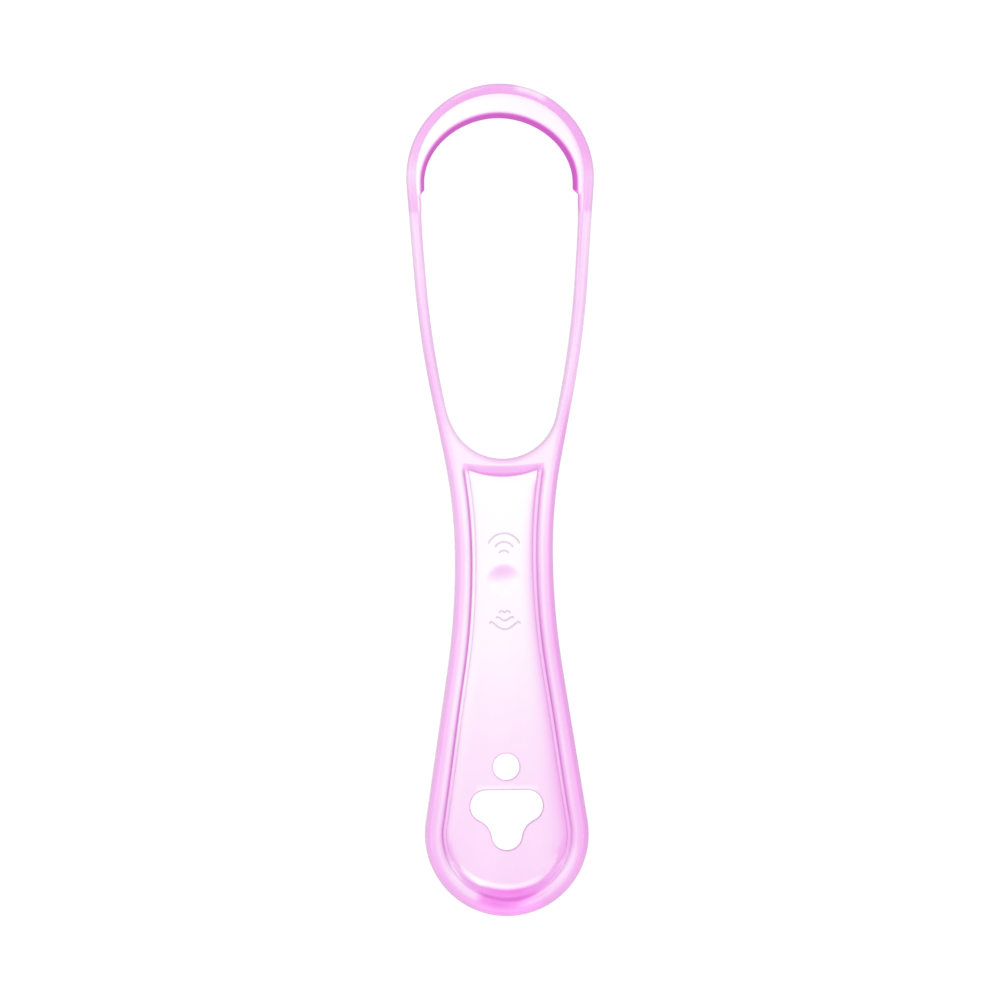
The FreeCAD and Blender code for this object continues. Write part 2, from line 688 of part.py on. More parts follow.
place(sk, base + s_l, 3, "X", -c1[0], "-Dims.lobe_x")
doc.recompute()
s = panel.newObject("PartDesign::Pocket", "Slot")
s.Profile = sk
s.Midplane = True
s.setExpression("Length", "4 * (Dims.panel_thickness + Dims.ledge_step)")
sk.Visibility = False
doc.recompute()

# shallow round dimple for the thumb
DR, DD, DY = val("dimple_radius"), val("dimple_depth"), val("dimple_y")
ball = (DR * DR + DD * DD) / (2 * DD)
sk = new_sketch(panel, "dimple_section", "XZ_Plane", "-Dims.dimple_y")
ch = Chain()
d_a = ch.arc((0, z_face - DD + ball), ball, (0, z_face - DD), (DR, z_face), True)
d_b = ch.line((DR, z_face), (DR, z_face + 1))
d_c = ch.line((DR, z_face + 1), (0, z_face + 1))
d_d = ch.line((0, z_face + 1), (0, z_face - DD))
base = put(sk, ch)
place(sk, base + d_a, 3, "X", 0.0, "0")
place(sk, base + d_a, 1, "X", 0.0, "0")
place(sk, base + d_a, 1, "Y", z_face - DD,
      "Dims.panel_floor + Dims.panel_thickness - Dims.dimple_depth")
place(sk, base + d_b, 1, "X", DR, "Dims.dimple_radius")
place(sk, base + d_b, 1, "Y", z_face, "Dims.panel_floor + Dims.panel_thickness")
sk.addConstraint(Sketcher.Constraint("Vertical", base + d_b))
sk.addConstraint(Sketcher.Constraint("Horizontal", base + d_c))
doc.recompute()
g = panel.newObject("PartDesign::Groove", "Dimple")
g.Profile = sk
g.ReferenceAxis = (sk, ["V_Axis"])
g.Angle = 360
sk.Visibility = False
doc.recompute()
panel.Tip = g

# ------------------------------------------------------------- grip ribs
for label, names, sign in (
        ("grip_ribs_upper", ("rib_up_large", "rib_up_middle", "rib_up_small"), 1),
        ("grip_ribs_lower", ("rib_down_large", "rib_down_middle", "rib_down_small"), -1)):
    body = new_body(label)
    body.AllowCompound = True
    half = val("rib_width") / 2
    spread = math.radians(val("rib_spread"))
    sk = new_sketch(body, label + "_outline", "XY_Plane",
                    "Dims.panel_floor + Dims.panel_thickness")
    for name in names:
        r, cy = val(name), val(name + "_y")
        ro, ri = r + half, r - half

        def at(rad, ang):
            return (rad * math.sin(ang), cy + sign * rad * math.cos(ang))

        ch = Chain()
        ccw = sign < 0
        k_o = ch.arc((0, cy), ro, at(ro, -spread), at(ro, spread), ccw)
        k_e = ch.arc(at(r, spread), half, at(ro, spread), at(ri, spread), ccw)
        k_i = ch.arc((0, cy), ri, at(ri, spread), at(ri, -spread), not ccw)
        k_s = ch.arc(at(r, -spread), half, at(ri, -spread), at(ro, -spread), ccw)
        base = put(sk, ch, smooth=(0, 1, 2, 3))
        radius(sk, base + k_o, ro, "Dims.%s + Dims.rib_width / 2" % name)
        radius(sk, base + k_i, ri, "Dims.%s - Dims.rib_width / 2" % name)
        same_centre(sk, base + k_i, base + k_o)
        place(sk, base + k_o, 3, "X", 0.0, "0")
        place(sk, base + k_o, 3, "Y", cy, "Dims.%s_y" % name)
    doc.recompute()
    p = pad(body, sk, "Dims.rib_height")
    body.Tip = p

doc.recompute()

# --------------------------------------------------------------- writing
NODES = ["head_hoop", "blade_web", "scraping_edge", "left_arm", "right_arm",
         "neck_yoke", "handle_rim", "handle_panel",
         "grip_ribs_upper", "grip_ribs_lower"]
for o in doc.Objects:
    bad = [s for s in o.State if s in ("Invalid", "Error")]
    if bad:
        raise RuntimeError("%s is %s" % (o.Label, bad))
os.makedirs("parts", exist_ok=True)
for label in NODES:
    shape = doc.getObjectsByLabel(label)[0].Shape
    if shape.isNull() or not shape.isValid() or not shape.Solids:
        raise RuntimeError(label + " has no valid solid")
    shape.exportStep("parts/%s.step" % label)
    b = shape.BoundBox
    print("%-16s solids %d  volume %9.2f  x %.2f..%.2f  y %.2f..%.2f  z %.2f..%.2f"
          % (label, len(shape.Solids), shape.Volume, b.XMin, b.XMax,
             b.YMin, b.YMax, b.ZMin, b.ZMax))
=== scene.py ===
import math

import bpy
import bmesh
import numpy as np
from mathutils import Matrix, Quaternion, Vector
from mathutils.geometry import delaunay_2d_cdt


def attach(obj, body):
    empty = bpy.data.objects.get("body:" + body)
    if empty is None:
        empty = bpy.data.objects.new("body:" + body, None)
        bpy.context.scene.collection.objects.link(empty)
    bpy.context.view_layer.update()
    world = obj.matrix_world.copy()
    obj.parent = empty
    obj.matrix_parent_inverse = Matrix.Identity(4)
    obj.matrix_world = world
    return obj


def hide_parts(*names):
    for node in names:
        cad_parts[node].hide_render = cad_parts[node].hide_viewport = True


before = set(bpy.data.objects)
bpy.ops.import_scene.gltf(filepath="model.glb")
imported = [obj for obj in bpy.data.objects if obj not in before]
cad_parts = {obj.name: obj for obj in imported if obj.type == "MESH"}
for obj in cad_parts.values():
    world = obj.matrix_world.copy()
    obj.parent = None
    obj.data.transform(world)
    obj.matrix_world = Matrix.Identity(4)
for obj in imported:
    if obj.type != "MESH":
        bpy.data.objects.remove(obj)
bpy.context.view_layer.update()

MM = 0.001

# ------------------------------------------------------------------ sizes, mm
HEAD_R, HEAD_Y = 17.5, 60.0
LEAN_UP, LEAN_LOW = math.radians(4.2), math.radians(11.35)
SHOULDER_R = 186.0
WAIST_X, WAIST_Y = 9.14, -10.2
WAIST_UP_R, WAIST_LOW_R = 94.7, 142.1
BUTT_R, BUTT_Y = 15.28, -62.22
OPEN_Y = 7.7
ARM_W = 2.4
LIP_X, LIP_Y, LIP_A, LIP_B, LIP_W, LIP_N = -0.2, 59.36, 13.84, 11.92, 0.75, 1.92
HOLE_Y, HOLE_R = -49.7, 2.5
LOBE_X, LOBE_Y, LOBE_R = 3.8, -57.0, 3.0
TOE_Y, TOE_R, BLEND_R = -62.4, 2.85, 4.0
DIMPLE_Y, DIMPLE_R, DIMPLE_D = -15.3, 3.2, 0.45
PANEL_F, PANEL_B = 2.9, 1.4
CREST, CREST_ARM = 4.4, 3.9
BAND = 1.7
SEAM, INSET = 0.03, 0.008  # the parting line stands out by the first, less the second


def smooth(a, b, t):
    u = np.clip((np.asarray(t, float) - a) / (b - a), 0.0, 1.0)
    return u * u * (3 - 2 * u)


def bell(t, centre, width):
    return np.exp(-((np.asarray(t, float) - centre) / width) ** 2)


def arc(c, r, a0, a1, step, sign):
    n = max(2, int(math.ceil(abs(a1 - a0) * r / step)))
    t = np.linspace(a0, a1, n + 1)
    d = np.c_[np.cos(t), np.sin(t)]
    return np.asarray(c, float) + r * d, sign * d


def line(p, q, normal, step):
    p, q = np.asarray(p, float), np.asarray(q, float)
    n = max(1, int(math.ceil(np.linalg.norm(q - p) / step)))
    t = np.linspace(0, 1, n + 1)[:, None]
    return p + t * (q - p), np.repeat(np.asarray(normal, float)[None], n + 1, 0)


def join(parts):
    pts, nrm = [parts[0][0]], [parts[0][1]]
    for p, n in parts[1:]:
        pts.append(p[1:])
        nrm.append(n[1:])
    return np.concatenate(pts), np.concatenate(nrm)


def close(pts, nrm):
    """A closed loop from its right half, whose two ends are on the axis."""
    flip = np.array([-1.0, 1.0])
    return (np.concatenate([pts, (pts[::-1] * flip)[1:-1]]),
            np.concatenate([nrm, (nrm[::-1] * flip)[1:-1]]))


def resample(pts, count):
    s = np.r_[0, np.cumsum(np.linalg.norm(np.diff(pts, axis=0), axis=1))]
    t = np.linspace(0, s[-1], count)
    return np.c_[np.interp(t, s, pts[:, 0]), np.interp(t, s, pts[:, 1])]


def left_normals(pts, closed=True):
    if closed:
        d = np.roll(pts, -1, 0) - np.roll(pts, 1, 0)
    else:
        d = np.gradient(pts, axis=0)
    d /= np.linalg.norm(d, axis=1)[:, None]
    return np.c_[-d[:, 1], d[:, 0]]


def poly_dist(P, loop, closed=True):
    A = loop if closed else loop[:-1]
    B = np.roll(loop, -1, 0) if closed else loop[1:]
    AB = B - A
    L2 = np.maximum((AB ** 2).sum(1), 1e-18)
    out = np.empty(len(P))
    for i in range(0, len(P), 1500):
        p = P[i:i + 1500]
        dx = p[:, None, 0] - A[:, 0]
        dy = p[:, None, 1] - A[:, 1]
        t = np.clip((dx * AB[:, 0] + dy * AB[:, 1]) / L2, 0, 1)
        dx -= t * AB[:, 0]
        dy -= t * AB[:, 1]
        out[i:i + 1500] = np.sqrt((dx * dx + dy * dy).min(1))
    return out


def inside(P, loop):
    A, B = loop, np.roll(loop, -1, 0)
    out = np.zeros(len(P), bool)
    for i in range(0, len(P), 1500):
        x, y = P[i:i + 1500, None, 0], P[i:i + 1500, None, 1]
        cross = (A[:, 1] > y) != (B[:, 1] > y)
        with np.errstate(divide="ignore", invalid="ignore"):
            xi = A[:, 0] + (y - A[:, 1]) * (B[:, 0] - A[:, 0]) / (B[:, 1] - A[:, 1])
        out[i:i + 1500] = ((cross & (x < xi)).sum(1) % 2) == 1
    return out


def drop(d, r):
    """How far a rounded edge of radius r lies below the flat, d in from the edge."""
    u = np.clip(1 - d / r, 0.0, 1.0)
    return r * (1 - np.sqrt(np.maximum(1 - u * u, 0)))


# ------------------------------------------------------------------ outlines
N1 = np.array([math.cos(LEAN_UP), -math.sin(LEAN_UP)])
D1 = np.array([math.sin(LEAN_UP), math.cos(LEAN_UP)])
N2 = np.array([math.cos(LEAN_LOW), -math.sin(LEAN_LOW)])
D2 = np.array([math.sin(LEAN_LOW), math.cos(LEAN_LOW)])
C3 = np.array([WAIST_X + WAIST_UP_R, WAIST_Y])
C4 = np.array([WAIST_X + WAIST_LOW_R, WAIST_Y])
P1 = np.array([0, HEAD_Y]) + HEAD_R * N1
P4 = C3 - WAIST_UP_R * N2
s_, t_ = np.linalg.solve(np.c_[D1, -D2], P4 - P1)
Q = P1 + s_ * D1
TL = SHOULDER_R * math.tan((LEAN_LOW - LEAN_UP) / 2)
P2, P3 = Q + TL * D1, Q - TL * D2
C2 = P2 - SHOULDER_R * N1
A3 = math.atan2(WAIST_Y - BUTT_Y, C4[0]) - math.acos(
    (BUTT_R + WAIST_LOW_R) / math.hypot(C4[0], WAIST_Y - BUTT_Y))
N3 = np.array([math.cos(A3), math.sin(A3)])
P6 = C4 - WAIST_LOW_R * N3
P7 = np.array([0, BUTT_Y]) + BUTT_R * N3

O_half = join([
    arc((0, HEAD_Y), HEAD_R, math.pi / 2, -LEAN_UP, 0.42, 1),
    line(P1, P2, N1, 0.55),
    arc(C2, SHOULDER_R, -LEAN_UP, -LEAN_LOW, 0.55, 1),
    line(P3, P4, N2, 0.55),
    arc(C3, WAIST_UP_R, math.pi - LEAN_LOW, math.pi, 0.5, -1),
    arc(C4, WAIST_LOW_R, math.pi, math.pi + A3, 0.5, -1),
    line(P6, P7, N3, 0.5),
    arc((0, BUTT_Y), BUTT_R, A3, -math.pi / 2, 0.42, 1),
])
OUT_P, OUT_N = close(*O_half)

# The big opening, right half, from its foot up.
OPEN_C = (P4 @ N2 - ARM_W + OPEN_Y) / (1 + N2[1])
OPEN_R = OPEN_C - OPEN_Y
TAN_Y = OPEN_C + OPEN_R * N2[1]
up_p, up_n = O_half[0][::-1], O_half[1][::-1]
arm_in = up_p - ARM_W * up_n
END_LOW, END_HIGH = 56.75, 57.95
sel = (arm_in[:, 1] > TAN_Y + 0.25) & (arm_in[:, 1] < END_LOW - 1.0) & (up_p[:, 1] > 5)
foot_arc = arc((0, OPEN_C), OPEN_R, -math.pi / 2, -LEAN_LOW, 0.4, -1)[0]
arm_line = arm_in[sel]
V1 = np.array([LIP_A, END_HIGH])
top_in = P1 - ARM_W * N1
V2 = top_in + D1 * ((END_LOW - top_in[1]) / D1[1])


def rounded(a, v, b, r, n):
    """The arc that rounds the corner v between the runs from a and to b."""
    da, db = (a - v) / np.linalg.norm(a - v), (b - v) / np.linalg.norm(b - v)
    half = math.acos(float(np.clip(da @ db, -1, 1))) / 2
    cut = r / math.tan(half)
    c = v + (da + db) / np.linalg.norm(da + db) * (r / math.sin(half))
    p, q = v + da * cut - c, v + db * cut - c
    a0, a1 = math.atan2(p[1], p[0]), math.atan2(q[1], q[0])
    turn = (a1 - a0 + math.pi) % (2 * math.pi) - math.pi
    t = a0 + np.linspace(0, 1, n) * turn
    return np.c_[c[0] + r * np.cos(t), c[1] + r * np.sin(t)]


def lip_curve(d, n=64):
    """Right half of the curve at d outside the free edge, from the side up to the axis."""
    t = np.linspace(0, math.pi / 2, n)
    u = np.clip(np.c_[np.cos(t), np.sin(t)], 0, 1) ** (2 / LIP_N)
    c = u * [LIP_A, LIP_B]
    nr = u ** (LIP_N - 1) / [LIP_A, LIP_B]
    nr /= np.linalg.norm(nr, axis=1)[:, None]
    return np.array([0, LIP_Y]) + c + d * nr


def lip_shift(p):
    p = p.copy()
    p[:, 0] += LIP_X * smooth(54.0, 58.5, p[:, 1])
    right = np.interp(p[:, 1], [47.0, 50.3, 52.9, 54.2, 55.5, 56.3, 57.4], [0.0, -0.04, -0.15, -0.27, -0.35, -0.36, 0.0])
    left = np.interp(p[:, 1], [14.0, 17.0, 47.7, 50.3, 52.9, 54.2, 55.5, 56.3, 57.4], [0.0, -0.26, -0.26, -0.2, -0.13, 0.02, 0.16, 0.16, 0.0])
    p[:, 0] += np.where(p[:, 0] > 0, right, left)
    return p


end_low = rounded(V2 - 2 * D1, V2, V1, 1.1, 9)
end_high = rounded(V2, V1, V1 + np.array([0.0, 2.0]), 0.2, 6)
lip_side = np.c_[np.full(4, LIP_A), np.linspace(end_high[-1, 1] + 0.25, LIP_Y - 0.3, 4)]
L_half = np.concatenate([foot_arc, arm_line, end_low, end_high, lip_side, lip_curve(0.0)])
L_P = lip_shift(close(L_half, L_half)[0])
L_N = left_normals(L_P)  # into the opening

# Hanging hole and three-lobed slot.
H_P, H_N = arc((0, HOLE_Y), HOLE_R, 0, 2 * math.pi, 0.26, -1)
H_P, H_N = H_P[:-1], H_N[:-1]


def meet(c0, r0, c1, r1):
    """The point at r0 from c0 and r1 from c1, on the right-hand side."""
    d = np.linalg.norm(c1 - c0)
    a = (r0 * r0 - r1 * r1 + d * d) / (2 * d)
    h = math.sqrt(r0 * r0 - a * a)
    u = (c1 - c0) / d
    both = [c0 + a * u + h * np.array([-u[1], u[0]]) * k for k in (1, -1)]
    return max(both, key=lambda p: p[0])


LOBE, TOE = np.array([LOBE_X, LOBE_Y]), np.array([0, TOE_Y])
BL = meet(LOBE, LOBE_R + BLEND_R, TOE, TOE_R + BLEND_R)
ang = lambda c, p: math.atan2(p[1] - c[1], p[0] - c[0])
b0, b1 = ang(BL, LOBE), ang(BL, TOE)
b0, b1 = b0 % (2 * math.pi), b1 % (2 * math.pi)
E_half = join([
    line((0, LOBE_Y + LOBE_R), (LOBE_X, LOBE_Y + LOBE_R), (0, -1), 0.4),
    arc(LOBE, LOBE_R, math.pi / 2, ang(LOBE, BL), 0.26, -1),
    arc(BL, BLEND_R, b0, b1, 0.28, 1),
    arc(TOE, TOE_R, ang(TOE, BL), -math.pi / 2, 0.26, -1),
])
E_P, E_N = close(*E_half)

# The recess in the handle: its upper edge and its foot, right half, from the bottom up.


def recess_half(side, bottom, top_curve):
    p, n = up_p, up_n
    low = p[:, 1] < 12
    p, n = p[low], n[low]
    phi = np.degrees(np.arctan2(p[:, 1] - BUTT_Y, p[:, 0]))
    at_end = np.where(p[:, 1] < BUTT_Y, 1 - smooth(20, 78, np.abs(phi + 90)), 0.0)
    wide = side(p[:, 1])
    flank = p - (wide + (bottom - wide) * at_end)[:, None] * n
    cut = top_curve(flank[:, 0])
    k = int(np.argmax(flank[:, 1] > cut))
    f = (cut[k - 1] - flank[k - 1, 1]) / ((flank[k, 1] - flank[k - 1, 1]) - (cut[k] - cut[k - 1]))
    corner = flank[k - 1] + f * (flank[k] - flank[k - 1])
    a = np.concatenate([flank[:k], corner[None]])
    xs = np.linspace(corner[0], 0, 40)
    b = np.c_[xs, top_curve(xs)]
    b[0] = corner
    return a, b


edge_a, edge_b = recess_half(lambda y: 3.05 + 0.1 * smooth(0, -26, y) + 0.17 * smooth(-36, -56, y), 3.2, lambda x: 6.3 + 0.55 * (np.abs(x) / 7.2) ** 2)
foot_a, foot_b = recess_half(lambda y: 3.95 + 0.15 * smooth(-36, -56, y), 5.95, lambda x: 21.04 - np.sqrt(16.7 ** 2 - np.minimum(np.abs(x), 12) ** 2))
NA, NB = 190, 21


def recess_loop(a, b):
    a, b = resample(a, NA), resample(b, NB)
    half = np.concatenate([a, b[1:]])
    # a small radius at the corner
    soft = half.copy()
    for _ in range(1):
        soft[NA - 3:NA + 2] = 0.25 * soft[NA - 4:NA + 1] + 0.5 * soft[NA - 3:NA + 2] + 0.25 * soft[NA - 2:NA + 3]
    return close(soft, soft)[0]


RT_P = recess_loop(edge_a, edge_b)
RF_P = recess_loop(foot_a, foot_b)
RT_N = -left_normals(RT_P)
if inside((RT_P[200] + 0.05 * RT_N[200])[None], RT_P)[0]:
    RT_N = -RT_N

# ------------------------------------------------------------------ moulded arcs above and below the dimple


def spline(points, step=0.1):
    """A smooth curve through the points (Catmull-Rom)."""
    p = np.asarray(points, float)
    p = np.concatenate([[2 * p[0] - p[1]], p, [2 * p[-1] - p[-2]]])
    out = []
    for i in range(1, len(p) - 2):
        n = max(2, int(np.linalg.norm(p[i + 1] - p[i]) / step))
        t = np.linspace(0, 1, n, endpoint=False)[:, None]
        out.append(0.5 * (2 * p[i] + (p[i + 1] - p[i - 1]) * t
                          + (2 * p[i - 1] - 5 * p[i] + 4 * p[i + 1] - p[i + 2]) * t ** 2
                          + (3 * p[i] - p[i - 1] - 3 * p[i + 1] + p[i + 2]) * t ** 3))
    out.append(p[-2][None])
    return np.concatenate(out)


def bow(y0, r, spread):
    t = np.radians(90 + np.linspace(spread, -spread, 9))
    return spline(np.c_[r * np.cos(t), y0 + r * np.sin(t)])


RIBS = {
    "grip_ribs_upper": [bow(-9.4, 3.2, 66), bow(-9.75, 1.95, 60), bow(-10.55, 1.15, 55)],
    "grip_ribs_lower": [
        spline([(-2.9, -22.98), (-2.5, -22.66), (-1.95, -23.04), (-1.05, -23.76), (0, -24.08),
                (1.05, -23.76), (1.95, -23.04), (2.5, -22.66), (2.9, -22.98)]),
        spline([(-1.68, -22.04), (-1.38, -21.78), (-0.95, -21.96), (-0.48, -22.3), (0, -22.43),
                (0.48, -22.3), (0.95, -21.96), (1.38, -21.78), (1.68, -22.04)]),
        spline([(-1.1, -20.98), (-0.56, -20.64), (0, -20.92), (0.56, -20.64), (1.1, -20.98)]),
    ],
}
RIB_W, RIB_H = 0.14, 0.15

# ------------------------------------------------------------------ profile along the length


def r_out(y):
    return np.interp(y, [-80, 5, 16, 49, 57, 80], [1.42, 1.42, 1.08, 1.08, 0.62, 0.62])


def r_in(y):
    return np.interp(y, [0, 9, 12, 22, 30, 42, 56.2, 57.4, 80], [0.62, 0.62, 0.7, 1.08, 1.08, 0.34, 0.34, 0.12, 0.12])


def crest(y):
    return CREST - (CREST - CREST_ARM) * smooth(7, 16, y)


def ledge_depth(y):
    """How far the strip inside the band lies below it."""
    return np.interp(y, [30, 46, 55, 58.5], [0.0, 0.25, 0.4, 0.6])


LEDGE_D = np.array([0, 1.3, 1.42, 1.54, 1.63, BAND, 1.76, 1.83, 1.96, 2.1])
LEDGE_S = np.array([0, 0.0, 0.05, 0.16, 0.3, 0.48, 0.68, 0.86, 0.97, 1.0])
LIP_D = np.array([0, LIP_W - 0.1, LIP_W + 0.02, LIP_W + 0.15, LIP_W + 0.32, LIP_W + 0.6])
LIP_S = np.array([2.75, 0.42, 0.17, 0.06, 0.015, 0.0])


def lip_dist(x, y):
    """Distance outside the free edge of the lip."""
    x = np.asarray(x, float) - LIP_X
    dy = np.maximum(np.asarray(y, float) - LIP_Y, 0)
    u, v = np.abs(x) / LIP_A, dy / LIP_B
    e = np.maximum((u ** LIP_N + v ** LIP_N) ** (1 / LIP_N), 1e-6)
    g = np.hypot((u / e) ** (LIP_N - 1) / LIP_A, (v / e) ** (LIP_N - 1) / LIP_B)
    return (e - 1) / np.maximum(g, 1e-6)


def fields(P, dO, dL):
    """Distances and weights that the heights and the tint are made from."""
    f = {"x": P[:, 0], "y": P[:, 1], "dO": dO, "dL": dL}
    x, y = f["x"], f["y"]
    f["dRT"], f["dRF"] = poly_dist(P, RT_P), poly_dist(P, RF_P)
    # points on either loop belong to the wall
    f["inRT"] = inside(P, RT_P) | (f["dRT"] < 1e-4)
    f["inRF"] = inside(P, RF_P) & (f["dRF"] > 1e-4)
    f["dH"], f["dE"] = poly_dist(P, H_P), poly_dist(P, E_P)
    f["phi"] = np.degrees(np.arctan2(y - BUTT_Y, np.abs(x)))
    turn = np.where(y < BUTT_Y, np.abs(f["phi"] + 90), 90.0)
    f["low_end"] = 1 - smooth(25, 72, turn)
    f["v"] = np.clip(f["dRT"] / np.maximum(f["dRT"] + f["dRF"], 1e-9), 0, 1)
    f["lip"] = lip_dist(x, y)
    # how much of the way from the recess's edge to its foot the wall takes; a flat fillet is the rest
    edge_d, foot_d = 3.32 - 0.12 * (1 - smooth(20, 78, turn)), 4.1 + 1.85 * (1 - smooth(20, 78, turn))
    wall_d = 4.1 + 0.97 * (1 - smooth(0, 55, turn))
    f["reach"] = np.clip((wall_d - edge_d) / (foot_d - edge_d), 0.3, 1.0)
    return f


def heights(f):
    """Front and back height at each point."""
    x, y, dO, dL, v = f["x"], f["y"], f["dO"], f["dL"], f["v"]
    inRT, inRF = f["inRT"], f["inRF"]
    end = np.maximum(smooth(4.9, 6.3, y), f["low_end"])

    F = crest(y) - drop(dO, r_out(y))
    lip_w = smooth(56.7, 57.5, y)
    F = F - drop(dL, r_in(y))
    # bead's inner side, outside the recess
    h_in, w_in = 1.1 * (1 - end), 1.5
    u = np.clip(1 - f["dRT"] / w_in, 0, 1)
    bead = h_in * (1 - np.sqrt(np.maximum(1 - u * u, 0)))
    low = (y < 9) & ~inRT
    F = np.where(low, F - bead, F)
    # recess wall and panel
    side = 3.3 - 0.07 * v - 0.33 * smooth(0.78, 1.0, v)
    wall = PANEL_F + (CREST - PANEL_F) * 0.5 * (1 + np.cos(np.pi * np.clip(v / (1.06 * f["reach"]), 0, 1) ** 0.92))
    F = np.where(inRT & ~inRF, side * (1 - end) + wall * end, F)
    rho = np.hypot(x, y - DIMPLE_Y)
    dim = DIMPLE_D * np.clip(1 - (rho / DIMPLE_R) ** 2, 0, 1) ** 1.5
    F = np.where(inRF, PANEL_F - dim - drop(f["dH"], 0.16) - drop(f["dE"], 0.16), F)
    # head: band, crescent, turned lip
    up = y > 28
    F = np.where(up, F - ledge_depth(y) * np.interp(dO, LEDGE_D, LEDGE_S), F)
    F = np.where(up, F - lip_w * np.interp(f["lip"], LIP_D, LIP_S), F)

    # back
    floor = np.interp(y, [7, 16, 50, 57], [0.0, 0.8, 0.8, 1.0])
    B = floor + drop(dO, np.interp(y, [5, 16, 80], [0.75, 0.95, 0.8])) + drop(dL, np.interp(y, [9, 22, 42, 56.3, 57.4], [0.6, 0.95, 0.5, 0.4, 0.06]))
    B = np.where(inRT & ~inRF, PANEL_B * smooth(0.05, 0.5, v), B)
    B = np.where(inRF, PANEL_B + drop(f["dH"], 0.12) + drop(f["dE"], 0.12), B)
    web = np.minimum(1.0 + 0.9 * smooth(1.6, 1.86, dO), 1.9)
    B = np.where(y > 50, B + (web - 1.0) * smooth(50, 57, y), B)
    lip_b = np.interp(f["lip"], [0.02, 0.09, 0.42, 0.57, LIP_W + 0.42, LIP_W + 0.56, LIP_W + 0.75],
                      [0.06, 0.0, 0.0, 0.14, 1.68, 1.86, 1.9])
    B = np.where(up, B * (1 - lip_w) + np.minimum(B, lip_b) * lip_w, B)
    return F, B


def run(t, *pairs):
    """Straight runs through the pairs of place and value."""
    return np.interp(t, pairs[0::2], pairs[1::2])


